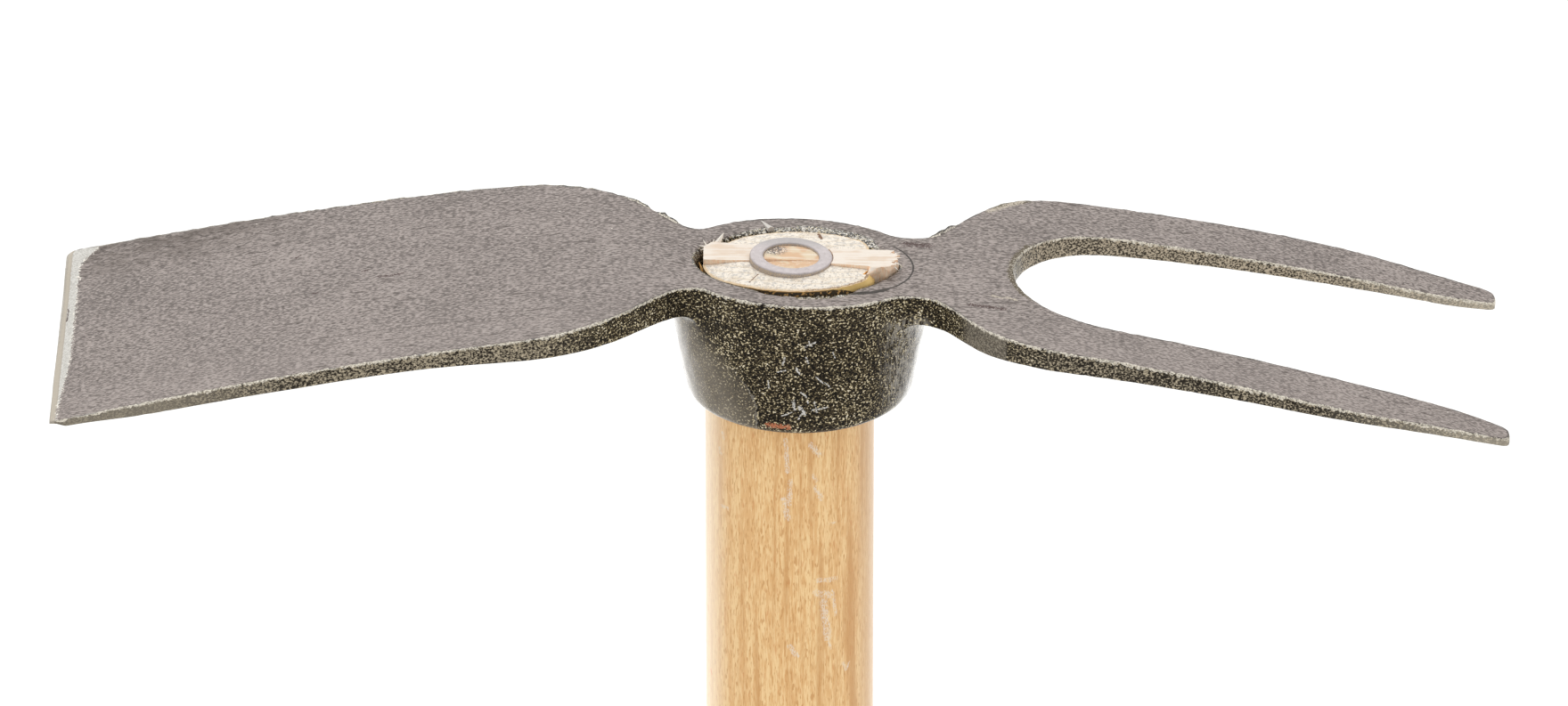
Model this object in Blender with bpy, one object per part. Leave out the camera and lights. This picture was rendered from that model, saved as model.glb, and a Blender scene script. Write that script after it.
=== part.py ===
"""Garden hoe with a forged two-ended head on a straight round handle.

The head has a flat blade on one side of its eye and a two-tine fork on the other, with a short
collar below. The handle's end fills the eye, where a wooden wedge and a steel ring wedge spread it.
Units are metres. +Z runs up the handle, the blade points to -X and the fork to +X, and the origin
is the centre of the handle's butt end.
"""

import math

import bmesh
import bpy
from mathutils import Matrix, Vector

# Handle: a turned stick, a little thinner at the butt
HANDLE_LENGTH = 1.200
HANDLE_DIAMETER = 0.0305
BUTT_DIAMETER = 0.0290
BUTT_ROUND = 0.004

# Fit of the handle in the head, and of the wedges in the handle
FIT_CLEARANCE = 0.0003
END_GRAIN_PROUD = 0.0007
END_GRAIN_SLOPE = 0.04
TENON_SHORTFALL = 0.0012

# Eye: an oval, blunt towards the blade and pointed towards the fork, which turns into the round
# bore at the collar's foot
EYE_LENGTH = 0.0368
EYE_WIDTH = 0.0250
EYE_END_WALL = 0.0049
EYE_SIDE_WALL = 0.0058
EYE_LIP = 0.0007
HEAD_TILT = 0.045

# The forging isn't centred on its own bore: these lie towards the fork from the handle's axis
EYE_OFFSET = 0.0014
RIM_OFFSET = 0.0017

# Collar below the plate
COLLAR_HEIGHT = 0.0249
COLLAR_WALL = 0.0050
COLLAR_FOOT_ROUND = 0.0022
COLLAR_BORE_CHAMFER = 0.0004

# Plate thickness, from the neck beside the eye out to the tips
NECK_WIDTH = 0.0244
NECK_THICKNESS = 0.0056
NECK_FILLET = 0.0026
ARRIS = 0.0004

# Blade: distances are from the middle of the rim
BLADE_REACH = 0.1334
BLADE_EDGE_WIDTH = 0.0696
BLADE_WAIST_AT = 0.0205
BLADE_WAIST_WIDTH = 0.0232
BLADE_WAIST_ROUND = 0.0104
BLADE_SHOULDER_AT = 0.0380
BLADE_SHOULDER_WIDTH = 0.0636
BLADE_SHOULDER_ROUND = 0.030
BLADE_THINS_FROM = 0.066
BLADE_THICKNESS = 0.0031
BLADE_TOE_THICKNESS = 0.0022
BLADE_EDGE_THICKNESS = 0.0006
BLADE_CORNER_LOSS = 0.0012
BLADE_GROUND_WIDTH = 0.0030
BLADE_GROUND_DROP = 0.0006
BLADE_CREST_AT = 0.0280
BLADE_CREST_HEIGHT = 0.0018
BLADE_DROOP = 0.0165
BLADE_DROOP_POWER = 1.44

# Fork: distances are from the middle of the rim
FORK_REACH = 0.1268
FORK_TIP_SPREAD = 0.0598
FORK_WAIST_AT = 0.0244
FORK_WAIST_WIDTH = 0.0238
FORK_WAIST_ROUND = 0.0064
FORK_SHOULDER_AT = 0.0366
FORK_SHOULDER_WIDTH = 0.0610
FORK_SHOULDER_ROUND = 0.024
FORK_BELLY_AT = 0.0969
FORK_BELLY_WIDTH = 0.0678
FORK_BELLY_ROUND = 0.090
FORK_ROOT_THICKNESS = 0.0043
FORK_TIP_THICKNESS = 0.0015
FORK_TAPER_POWER = 1.4
FORK_DROOP_FROM = 0.038
FORK_DROOP = 0.0150
FORK_DROOP_POWER = 1.38
SLOT_ROOT_AT = 0.0381
SLOT_ROOT_RADIUS = 0.0187
SLOT_FLARE_AT = 0.1186
SLOT_FLARE_WIDTH = 0.0454
SLOT_FLARE_ROUND = 0.020
TINE_TIP_WIDTH = 0.0047
TINE_TIP_ROUND = 0.0019

# Wooden wedge, driven in across the eye's width
WEDGE_THICKNESS = 0.0070
WEDGE_TOE_THICKNESS = 0.0020
WEDGE_DEPTH = 0.0200
WEDGE_PROUD = 0.0007
WEDGE_SET_BACK = 0.0011
WEDGE_SKEW = math.radians(-6)

# Ring wedge, driven in over both the handle and the wooden wedge
RING_DIAMETER = 0.0150
RING_WALL = 0.0024
RING_TOE_WALL = 0.0008
RING_DEPTH = 0.0140
RING_STRAIGHT = 0.0042
RING_PROUD = 0.0008
RING_OFFSET = 0.0003

# Fineness of the meshes. Lines run outwards along a plate on each side of its middle line.
PLATE_LINES = 8
SIDE_COLUMNS = 16
ROOT_LINES = 5
ARC_STEPS = 8
ROUND_STEPS = 3
BLADE_STATIONS = 24
BLADE_CROWDING = 1.4
FORK_STATIONS = 14
TINE_STATIONS = 14
TIP_STATIONS = 4
COLLAR_LEVELS = (0.3, 0.65)
TENON_LEVELS = (1.0, 0.8, 0.6, 0.4, 0.2)
SHAFT_LEVELS = (0.25, 0.5, 0.75)
ROUND_SEGMENTS = 48
SHARP_ANGLE = math.radians(35)

# How far a cutting shape stands clear of what it cuts
CUTTER_RISE = 0.004

# Worked out from the sizes above
HEAD_TOP = HANDLE_LENGTH - END_GRAIN_PROUD
BORE_RADIUS = HANDLE_DIAMETER / 2 + FIT_CLEARANCE
COLLAR_FOOT_RADIUS = BORE_RADIUS + COLLAR_WALL
COLLAR_FOOT_Z = HEAD_TOP - COLLAR_HEIGHT
RIM_LENGTH = EYE_LENGTH + 2 * EYE_END_WALL
RIM_WIDTH = EYE_WIDTH + 2 * EYE_SIDE_WALL
BAND_DEPTH = NECK_THICKNESS + NECK_FILLET
NECK_ANGLE = math.asin(NECK_WIDTH / RIM_WIDTH)
SLOT_CENTRE_AT = SLOT_ROOT_AT + SLOT_ROOT_RADIUS
ROOT_SIDE_AT = SLOT_CENTRE_AT - 0.3 * SLOT_ROOT_RADIUS
TINE_INNER_TIP = FORK_TIP_SPREAD / 2 - TINE_TIP_WIDTH
TINE_MIDDLE_TIP = FORK_TIP_SPREAD / 2 - TINE_TIP_WIDTH / 2
CUTTER_TOP = HANDLE_LENGTH + CUTTER_RISE

# What a corner of the head's mesh belongs to
TOP, UNDERSIDE, COLLAR, EDGE_TOP, EDGE_UNDERSIDE = range(1, 6)


def blend(low, high, share):
    """The value or point that lies a share of the way from low to high."""
    return low + (high - low) * share


def ease(share):
    """A share that leaves 0 and reaches 1 without a kink, held between them."""
    share = min(1.0, max(0.0, share))
    return share * share * (3.0 - 2.0 * share)


def rounded_path(corners):
    """Points along corners of (x, y, radius), each inner one rounded by an arc of that radius."""
    path = [Vector(corners[0][:2])]
    for before, corner, after in zip(corners, corners[1:], corners[2:]):
        tip = Vector(corner[:2])
        back = Vector(before[:2]) - tip
        on = Vector(after[:2]) - tip
        back_room = back.length * (0.5 if before[2] else 1.0)
        on_room = on.length * (0.5 if after[2] else 1.0)
        half = back.angle(on) / 2
        run = min(corner[2] / math.tan(half), back_room, on_room)
        centre = tip + (back.normalized() + on.normalized()).normalized() * run / math.cos(half)
        start = tip + back.normalized() * run - centre
        end = tip + on.normalized() * run - centre
        turn = start.angle(end)
        for step in range(ARC_STEPS + 1):
            share = step / ARC_STEPS
            spoke = start * math.sin((1 - share) * turn) + end * math.sin(share * turn)
            path.append(centre + spoke / math.sin(turn))
    path.append(Vector(corners[-1][:2]))
    return path


def width_at(path, x):
    """Half width of a path at a distance x, held at its ends."""
    for start, end in zip(path, path[1:]):
        if end.x > start.x and x <= end.x:
            return blend(start.y, end.y, max(0.0, (x - start.x) / (end.x - start.x)))
    return path[-1].y


def rim_section(angle):
    """The rim's outer oval."""
    return Vector((RIM_LENGTH / 2 * math.cos(angle), RIM_WIDTH / 2 * math.sin(angle)))


def eye_oval(angle, half_length, half_width):
    """Half an ellipse towards the blade, and two arcs that meet in a point towards the fork."""
    across = math.sin(angle)
    along = math.cos(angle)
    if along < 0:
        reach = half_length * half_width / math.hypot(half_width * along, half_length * across)
    else:
        radius = (half_length**2 + half_width**2) / (2 * half_width)
        sunk = radius - half_width
        reach = math.sqrt(radius**2 - (sunk * along) ** 2) - sunk * abs(across)
    return Vector((reach * along, reach * across))


def hole_section(angle, depth, inset=0.0, shortfall=0.0):
    """The hole through the head at a depth, from the handle's axis, drawn in by an inset."""
    eye = eye_oval(angle, EYE_LENGTH / 2 - inset, EYE_WIDTH / 2 - inset)
    if eye.x < 0:
        eye.x *= 1 - shortfall / (EYE_LENGTH / 2)
    eye.x += EYE_OFFSET
    bore = Vector((math.cos(angle), math.sin(angle))) * (BORE_RADIUS - inset)
    return blend(eye, bore, ease(depth / COLLAR_HEIGHT))


def top_height(x):
    """Height of the head's top face above the eye, at a distance x from the rim's middle."""
    plane = -HEAD_TILT * x
    if x < 0:
        neck = RIM_LENGTH / 2 * math.cos(NECK_ANGLE)
        rise = ease((-x - neck) / (BLADE_CREST_AT - neck))
        droop = max(0.0, (-x - BLADE_CREST_AT) / (BLADE_REACH - BLADE_CREST_AT))
        return blend(plane, BLADE_CREST_HEIGHT, rise) - BLADE_DROOP * droop**BLADE_DROOP_POWER
    droop = max(0.0, (x - FORK_DROOP_FROM) / (FORK_REACH - FORK_DROOP_FROM))
    return plane - FORK_DROOP * droop**FORK_DROOP_POWER


def plate_thickness(x):
    """Thickness of the plate at a distance x from the rim's middle."""
    neck = RIM_LENGTH / 2
    far = abs(x)
    if x < 0:
        if far < BLADE_THINS_FROM:
            share = max(0.0, (far - neck) / (BLADE_THINS_FROM - neck))
            return blend(NECK_THICKNESS, BLADE_THICKNESS, share)
        share = (far - BLADE_THINS_FROM) / (BLADE_REACH - BLADE_THINS_FROM)
        return blend(BLADE_THICKNESS, BLADE_TOE_THICKNESS, share)
    if far < SLOT_ROOT_AT:
        share = max(0.0, (far - neck) / (SLOT_ROOT_AT - neck))
        return blend(NECK_THICKNESS, FORK_ROOT_THICKNESS, share)
    left = max(0.0, (FORK_REACH - far) / (FORK_REACH - SLOT_ROOT_AT))
    return blend(FORK_TIP_THICKNESS, FORK_ROOT_THICKNESS, left**FORK_TAPER_POWER)


def head_place(plan, depth):
    """A point of the head from its plan, measured from the rim's middle, and its depth."""
    level = 1 - depth / COLLAR_HEIGHT
    return Vector((plan.x + RIM_OFFSET, plan.y, HEAD_TOP + top_height(plan.x) * level - depth))


def collar_angles():
    """Angles of the columns round the eye: the fork's neck, back, the blade's neck, front."""
    neck = [NECK_ANGLE * line / PLATE_LINES for line in range(-PLATE_LINES, PLATE_LINES)]
    bare = math.pi - 2 * NECK_ANGLE
    side = [NECK_ANGLE + bare * column / SIDE_COLUMNS for column in range(SIDE_COLUMNS)]
    half = neck + side
    return half + [angle + math.pi for angle in half]


def blade_plan():
    """Plan points of each blade station, as a function of the line across it."""
    waist = rim_section(math.pi - NECK_ANGLE)
    outline = rounded_path(
        [
            (-waist.x, waist.y, 0),
            (BLADE_WAIST_AT, BLADE_WAIST_WIDTH / 2, BLADE_WAIST_ROUND),
            (BLADE_SHOULDER_AT, BLADE_SHOULDER_WIDTH / 2, BLADE_SHOULDER_ROUND),
            (BLADE_REACH, BLADE_EDGE_WIDTH / 2, 0),
        ]
    )
    ground_from = BLADE_REACH - BLADE_GROUND_WIDTH

    def station(number):
        share = (number / BLADE_STATIONS) ** BLADE_CROWDING
        side = blend(-waist.x, ground_from, share)
        half = width_at(outline, side)
        if number > BLADE_STATIONS:
            side = BLADE_REACH
            half = BLADE_EDGE_WIDTH / 2 - BLADE_CORNER_LOSS
        fade = max(0.0, 1 - (side + waist.x) / (BLADE_SHOULDER_AT + waist.x)) ** 2

        def point(line):
            rim = rim_section(math.pi - NECK_ANGLE * line / PLATE_LINES)
            across = blend(line / PLATE_LINES, rim.y / waist.y, fade)
            return Vector((-side - (waist.x - rim.x) * fade, half * across))

        return point

    return station


def fork_plan():
    """Plan points of each fork station as far as the slot's root, as a function of the line."""
    waist = rim_section(NECK_ANGLE)
    outline = fork_outline()
    root_half = width_at(outline, ROOT_SIDE_AT)

    def root(line):
        quarter = math.pi / 2 * min(1.0, max(-1.0, line / ROOT_LINES))
        x = SLOT_CENTRE_AT - SLOT_ROOT_RADIUS * math.cos(quarter)
        y = SLOT_ROOT_RADIUS * math.sin(quarter)
        beyond = max(0.0, (abs(line) - ROOT_LINES) / (PLATE_LINES - ROOT_LINES))
        side_y = math.copysign(root_half, y)
        return Vector((blend(x, ROOT_SIDE_AT, beyond), blend(y, side_y, beyond)))

    def station(number):
        share = number / FORK_STATIONS
        side = blend(waist.x, ROOT_SIDE_AT, share)
        half = width_at(outline, side)

        def point(line):
            rim = rim_section(NECK_ANGLE * line / PLATE_LINES)
            end = root(line)
            ahead = blend(rim.x - waist.x, end.x - ROOT_SIDE_AT, share)
            return Vector((side + ahead, half * blend(rim.y / waist.y, end.y / root_half, share)))

        return point

    return station


def fork_outline():
    """Outer outline of the fork, from its neck to the round tip of a tine."""
    waist = rim_section(NECK_ANGLE)
    return rounded_path(
        [
            (waist.x, waist.y, 0),
            (FORK_WAIST_AT, FORK_WAIST_WIDTH / 2, FORK_WAIST_ROUND),
            (FORK_SHOULDER_AT, FORK_SHOULDER_WIDTH / 2, FORK_SHOULDER_ROUND),
            (FORK_BELLY_AT, FORK_BELLY_WIDTH / 2, FORK_BELLY_ROUND),
            (FORK_REACH, FORK_TIP_SPREAD / 2, TINE_TIP_ROUND),
            (FORK_REACH, TINE_MIDDLE_TIP, 0),
        ]
    )


def slot_outline():
    """Outline of the slot along a tine's inner side, from the root's end to the round tip."""
    return rounded_path(
        [
            (SLOT_CENTRE_AT, SLOT_ROOT_RADIUS, 0),
            (SLOT_FLARE_AT, SLOT_FLARE_WIDTH / 2, SLOT_FLARE_ROUND),
            (FORK_REACH, TINE_INNER_TIP, TINE_TIP_ROUND),
            (FORK_REACH, TINE_MIDDLE_TIP, 0),
        ]
    )


def tine_plan():
    """Plan points of each tine station, as a function of the line."""
    outer = fork_outline()
    inner = slot_outline()
    root = fork_plan()(FORK_STATIONS)
    tip_from = FORK_REACH - TINE_TIP_ROUND

    def station(number):
        share = number / TINE_STATIONS
        past = (number - TINE_STATIONS) / TIP_STATIONS

        def point(line):
            size = abs(line)
            x = blend(root(size).x, tip_from, share)
            if number > TINE_STATIONS:
                x = tip_from + TINE_TIP_ROUND * math.sin(math.pi / 2 * past)
            across = (size - ROOT_LINES) / (PLATE_LINES - ROOT_LINES)
            half = blend(width_at(inner, x), width_at(outer, x), across)
            return Vector((x, math.copysign(half, line)))

        return point

    return station


def extrude_ring(bm, edges, places, column_layer):
    """Extrude a ring of edges and move each new corner to its column's place."""
    new = bmesh.ops.extrude_edge_only(bm, edges=edges)["geom"]
    for vert in (item for item in new if isinstance(item, bmesh.types.BMVert)):
        vert.co = places[vert[column_layer]]
    return [
        edge
        for edge in new
        if isinstance(edge, bmesh.types.BMEdge) and len(edge.link_faces) == 1
    ]


def extrude_plate(bm, faces, place):
    """Extrude the end faces of a plate and move each new corner to its place."""
    new = bmesh.ops.extrude_face_region(bm, geom=faces)["geom"]
    bmesh.ops.delete(bm, geom=faces, context="FACES")
    for vert in (item for item in new if isinstance(item, bmesh.types.BMVert)):
        place(vert)
    return [item for item in new if isinstance(item, bmesh.types.BMFace)]


def add_collar(bm, column_layer, kind_layer):
    """The closed ring round the eye, from the rim down the collar and back up the hole."""
    angles = collar_angles()
    ring = bmesh.ops.create_circle(bm, segments=len(angles), radius=RIM_LENGTH, cap_ends=False)
    rims = [rim_section(angle) for angle in angles]
    for column, vert in enumerate(ring["verts"]):
        vert[column_layer] = column
        vert[kind_layer] = TOP
        vert.co = head_place(rims[column], 0)
    top_edges = list(bm.edges)

    def outside(depth, radius):
        share = (depth - BAND_DEPTH) / (COLLAR_HEIGHT - COLLAR_FOOT_ROUND - BAND_DEPTH)
        share = min(1.0, max(0.0, share))
        foot = [Vector((math.cos(angle), math.sin(angle))) * radius for angle in angles]
        return [head_place(blend(rim, low, share), depth) for rim, low in zip(rims, foot)]

    def inside(depth, inset):
        offset = Vector((RIM_OFFSET, 0))
        return [head_place(hole_section(angle, depth, inset) - offset, depth) for angle in angles]

    rings = [outside(BAND_DEPTH, COLLAR_FOOT_RADIUS)]
    straight = COLLAR_HEIGHT - COLLAR_FOOT_ROUND
    for share in COLLAR_LEVELS:
        rings.append(outside(blend(BAND_DEPTH, straight, share), COLLAR_FOOT_RADIUS))
    for step in range(ROUND_STEPS + 1):
        turn = math.pi / 2 * step / ROUND_STEPS
        depth = straight + COLLAR_FOOT_ROUND * math.sin(turn)
        radius = COLLAR_FOOT_RADIUS - COLLAR_FOOT_ROUND * (1 - math.cos(turn))
        rings.append(outside(depth, radius))
    rings.append(inside(COLLAR_HEIGHT, -COLLAR_BORE_CHAMFER))
    rings.append(inside(COLLAR_HEIGHT - COLLAR_BORE_CHAMFER, 0))
    for share in TENON_LEVELS[1:]:
        rings.append(inside(COLLAR_HEIGHT * share, 0))
    rings.append(inside(EYE_LIP, 0))
    rings.append(inside(0, -EYE_LIP))
    edges = top_edges
    for number, places in enumerate(rings):
        edges = extrude_ring(bm, edges, places, column_layer)
        kind = UNDERSIDE if number == 0 else COLLAR
        for vert in {vert for edge in edges for vert in edge.verts}:
            vert[kind_layer] = kind
    bmesh.ops.bridge_loops(bm, edges=top_edges + edges)


def neck_faces(bm, column_layer, kind_layer, first):
    """The faces of the collar's band that a plate grows from, from a first column on."""
    columns = range(first, first + 2 * PLATE_LINES + 1)
    band = {TOP, UNDERSIDE}
    found = []
    for face in bm.faces:
        kinds = {vert[kind_layer] for vert in face.verts}
        if kinds == band and all(vert[column_layer] in columns for vert in face.verts):
            found.append(face)
    return found


def grow_plate(bm, faces, plans, layers, first, turned):
    """Extrude a plate outwards through the stations in plans, each a function of the line."""
    column_layer, kind_layer = layers
    start = plans[0]
    for plan in plans[1:]:

        def place(vert, plan=plan):
            line = vert[column_layer] - first - PLATE_LINES
            line = -line if turned else line
            point = plan(line)
            depth = 0.0
            if vert[kind_layer] == UNDERSIDE:
                from_collar = (point - start(line)).length
                fillet = NECK_FILLET * max(0.0, 1 - from_collar / NECK_FILLET) ** 2
                depth = plate_thickness(point.x) + fillet
            height = HEAD_TOP + top_height(point.x) - depth
            vert.co = Vector((point.x + RIM_OFFSET, point.y, height))

        faces = extrude_plate(bm, faces, place)
    return faces


def grind_edge(bm, faces, kind_layer):
    """Draw the blade's last station down to its cutting edge."""
    for vert in {vert for face in faces for vert in face.verts}:
        if vert[kind_layer] == TOP:
            vert.co.z -= BLADE_GROUND_DROP
            vert[kind_layer] = EDGE_TOP
        else:
            vert.co.z += BLADE_TOE_THICKNESS - BLADE_GROUND_DROP - BLADE_EDGE_THICKNESS
            vert[kind_layer] = EDGE_UNDERSIDE


def round_arrises(bm, kind_layer):
    """Round the long outer edges of the plates and the rim, but not the ground edge."""
    arrises = []
    for edge in bm.edges:
        kinds = {vert[kind_layer] for vert in edge.verts}
        if kinds in ({TOP}, {UNDERSIDE}) and edge.calc_face_angle_signed() > SHARP_ANGLE:
            arrises.append(edge)
    bmesh.ops.bevel(
        bm,
        geom=arrises,
        offset=ARRIS,
        offset_type="OFFSET",
        segments=2,
        profile=0.5,
        affect="EDGES",
        clamp_overlap=True,
        material=-1,
    )


def hoe_head_mesh():
    """The forged head: collar, blade and fork as one closed mesh."""
    bm = bmesh.new()
    column_layer = bm.verts.layers.int.new("column")
    kind_layer = bm.verts.layers.int.new("kind")
    layers = (column_layer, kind_layer)
    add_collar(bm, column_layer, kind_layer)

    blade_first = 2 * PLATE_LINES + SIDE_COLUMNS
    blade = blade_plan()
    blade_plans = [blade(number) for number in range(BLADE_STATIONS + 2)]
    faces = neck_faces(bm, column_layer, kind_layer, blade_first)
    faces = grow_plate(bm, faces, blade_plans, layers, blade_first, turned=True)
    grind_edge(bm, faces, kind_layer)

    fork = fork_plan()
    fork_plans = [fork(number) for number in range(FORK_STATIONS + 1)]
    faces = neck_faces(bm, column_layer, kind_layer, 0)
    faces = grow_plate(bm, faces, fork_plans, layers, 0, turned=False)

    tine = tine_plan()
    tine_plans = [tine(number) for number in range(TINE_STATIONS + TIP_STATIONS + 1)]
    outer_faces = []
    for face in faces:
        lines = [abs(vert[column_layer] - PLATE_LINES) for vert in face.verts]
        if min(lines) >= ROOT_LINES:
            outer_faces.append(face)
    grow_plate(bm, outer_faces, tine_plans, layers, 0, turned=False)

    bmesh.ops.recalc_face_normals(bm, faces=bm.faces)
    round_arrises(bm, kind_layer)
    return finished_mesh(bm, "hoe_head")


def finished_mesh(bm, name):
    """Turn a bmesh into a mesh, smooth but for its sharp edges."""
    mesh = bpy.data.meshes.new(name)
    bm.to_mesh(mesh)
    bm.free()
    mesh.shade_smooth()
    mesh.set_sharp_from_angle(angle=SHARP_ANGLE)
    return mesh


def lofted_mesh(name, sections):
    """A closed solid through sections, each a function from an angle to a point."""
    bm = bmesh.new()
    column_layer = bm.verts.layers.int.new("column")
    ring = bmesh.ops.create_circle(bm, segments=ROUND_SEGMENTS, radius=1, cap_ends=False)
    angles = [2 * math.pi * column / ROUND_SEGMENTS for column in range(ROUND_SEGMENTS)]
    for column, vert in enumerate(ring["verts"]):
        vert[column_layer] = column
        vert.co = sections[0](angles[column])
    edges = list(bm.edges)
    for section in sections[1:]:
        places = [section(angle) for angle in angles]
        edges = extrude_ring(bm, edges, places, column_layer)
    bmesh.ops.holes_fill(bm, edges=bm.edges, sides=ROUND_SEGMENTS)
    bmesh.ops.recalc_face_normals(bm, faces=bm.faces)
    return finished_mesh(bm, name)


def tenon_section(depth):
    """Section of the handle inside the head, at a depth below the rim."""
    level = 1 - depth / COLLAR_HEIGHT

    def section(angle):
        point = hole_section(angle, depth, FIT_CLEARANCE, TENON_SHORTFALL)
        tilt = -HEAD_TILT * (point.x - RIM_OFFSET)
        return Vector((point.x, point.y, HEAD_TOP - depth + tilt * level))

    return section


def end_section(height):
    """Section of the handle's end above the rim, cut so that it rises towards the fork."""

    def section(angle):
        point = hole_section(angle, 0, FIT_CLEARANCE, TENON_SHORTFALL)
        return Vector((point.x, point.y, height + END_GRAIN_SLOPE * point.x))

    return section


def round_section(radius, height):
    """A circle round the handle's axis."""
    return lambda angle: Vector((radius * math.cos(angle), radius * math.sin(angle), height))


def handle_mesh():
    """The stick: rounded butt, long taper and the tenon inside the head."""
    butt_radius = BUTT_DIAMETER / 2
    sections = []
    for step in range(ROUND_STEPS + 1):
        turn = math.pi / 2 * step / ROUND_STEPS
        radius = butt_radius - BUTT_ROUND * (1 - math.sin(turn))
        sections.append(round_section(radius, BUTT_ROUND * (1 - math.cos(turn))))
    for share in SHAFT_LEVELS:
        radius = blend(butt_radius, HANDLE_DIAMETER / 2, share)
        sections.append(round_section(radius, COLLAR_FOOT_Z * share))
    for share in TENON_LEVELS:
        sections.append(tenon_section(COLLAR_HEIGHT * share))
    sections.append(end_section(HANDLE_LENGTH))
    return lofted_mesh("handle", sections)


def wedge_blank_mesh(name, grow, top):
    """A slab that narrows downwards, wider than the handle along X, grown on its faces."""
    toe = HANDLE_LENGTH - WEDGE_DEPTH - grow
    length = EYE_LENGTH + HANDLE_DIAMETER
    taper = (WEDGE_THICKNESS - WEDGE_TOE_THICKNESS) / WEDGE_DEPTH
    toe_thickness = WEDGE_TOE_THICKNESS - taper * grow + 2 * grow
    top_thickness = toe_thickness + taper * (top - toe)
    bm = bmesh.new()
    bmesh.ops.create_cube(bm, size=1)
    for vert in bm.verts:
        upper = vert.co.z > 0
        thickness = top_thickness if upper else toe_thickness
        height = top if upper else toe
        vert.co = Vector((vert.co.x * length, vert.co.y * thickness, height))
    skew = Matrix.Rotation(WEDGE_SKEW, 3, "Z")
    bmesh.ops.rotate(bm, cent=(0, 0, 0), matrix=skew, verts=bm.verts)
    bmesh.ops.translate(bm, vec=(0, WEDGE_SET_BACK, 0), verts=bm.verts)
    return finished_mesh(bm, name)


def ring_mesh(name, grow, top):
    """The ring wedge, turned from its section: straight-sided, thin at its toe."""
    outer = RING_DIAMETER / 2
    inner = outer - RING_WALL
    toe_middle = (outer + inner) / 2
    foot = HANDLE_LENGTH - RING_DEPTH - grow
    shoulder = HANDLE_LENGTH - RING_STRAIGHT
    section = [
        (inner - grow, top),
        (outer + grow, top),
        (outer + grow, shoulder),
        (toe_middle + RING_TOE_WALL / 2 + grow, foot),
        (toe_middle - RING_TOE_WALL / 2 - grow, foot),
        (inner - grow, shoulder),
    ]
    bm = bmesh.new()
    verts = [bm.verts.new((radius, 0, height)) for radius, height in section]
    bm.faces.new(verts)
    bmesh.ops.spin(
        bm,
        geom=bm.faces[:] + bm.edges[:] + bm.verts[:],
        axis=(0, 0, 1),
        angle=2 * math.pi,
        steps=ROUND_SEGMENTS,
        use_merge=True,
    )
    inside = [face for face in bm.faces if len(face.verts) > 4]
    bmesh.ops.delete(bm, geom=inside, context="FACES_ONLY")
    bmesh.ops.remove_doubles(bm, verts=bm.verts, dist=1e-6)
    bmesh.ops.translate(bm, vec=(RING_OFFSET, 0, 0), verts=bm.verts)
    bmesh.ops.recalc_face_normals(bm, faces=bm.faces)
    return finished_mesh(bm, name)


def material(name, colour, roughness, metallic):
    """A plain finish."""
    made = bpy.data.materials.new(name)
    made.use_nodes = True
    shader = made.node_tree.nodes["Principled BSDF"]
    shader.inputs["Base Color"].default_value = (*colour, 1)
    shader.inputs["Roughness"].default_value = roughness
    shader.inputs["Metallic"].default_value = metallic
    return made


def add_object(name, mesh, finish=None):
    """Put a mesh into the scene under its name."""
    made = bpy.data.objects.new(name, mesh)
    bpy.context.collection.objects.link(made)
    if finish is not None:
        mesh.materials.append(finish)
    return made


def add_cutter(name, mesh):
    """An object that only shapes others."""
    cutter = add_object(name, mesh)
    cutter.hide_render = True
    cutter.display_type = "WIRE"
    return cutter


def shape_with(target, operation, tool):
    """Cut or trim a piece with a Boolean."""
    modifier = target.modifiers.new(f"{operation.lower()} {tool.name}", "BOOLEAN")
    modifier.operation = operation
    modifier.solver = "EXACT"
    modifier.object = tool


def build():
    """Make the four pieces of the hoe."""
    for old in list(bpy.data.objects):
        bpy.data.objects.remove(old)

    forged = material("forged steel", (0.075, 0.07, 0.06), 0.45, 0.6)
    lacquered = material("lacquered wood", (0.62, 0.38, 0.18), 0.4, 0.0)
    raw_wood = material("raw wood", (0.72, 0.5, 0.36), 0.8, 0.0)
    ring_steel = material("bare steel", (0.2, 0.21, 0.22), 0.35, 0.9)

    kerf = add_cutter("kerf_cutter", wedge_blank_mesh("kerf_cutter", FIT_CLEARANCE, CUTTER_TOP))
    groove = add_cutter("groove_cutter", ring_mesh("groove_cutter", FIT_CLEARANCE, CUTTER_TOP))
    plug_sections = [tenon_section(COLLAR_HEIGHT * share) for share in TENON_LEVELS]
    plug_sections.append(end_section(CUTTER_TOP))
    plug = add_cutter("eye_plug", lofted_mesh("eye_plug", plug_sections))

    add_object("hoe_head", hoe_head_mesh(), forged)

    handle = add_object("handle", handle_mesh(), lacquered)
    shape_with(handle, "DIFFERENCE", kerf)
    shape_with(handle, "DIFFERENCE", groove)

    wedge_top = HANDLE_LENGTH + WEDGE_PROUD
    wedge = add_object("wooden_wedge", wedge_blank_mesh("wooden_wedge", 0.0, wedge_top), raw_wood)
    shape_with(wedge, "INTERSECT", plug)
    shape_with(wedge, "DIFFERENCE", groove)

    add_object("ring_wedge", ring_mesh("ring_wedge", 0.0, HANDLE_LENGTH + RING_PROUD), ring_steel)


build()
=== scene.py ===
# %% [markdown]
# A garden hoe with a forged two-ended head. One side of the head is a flat blade and the other a
# fork of two tines, and a round wooden handle fills the eye between them. The four CAD pieces fix
# every size and place. This lesson gives each of them the surface of the real thing: forged scale
# under a thin varnish, turned and lacquered wood, raw end grain, a split wooden wedge and a
# dull steel ring.

# %% Load the frame
import math

import bmesh
import bpy
from mathutils import Matrix, Vector, noise
from mathutils.bvhtree import BVHTree
from mathutils.kdtree import KDTree


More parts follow.
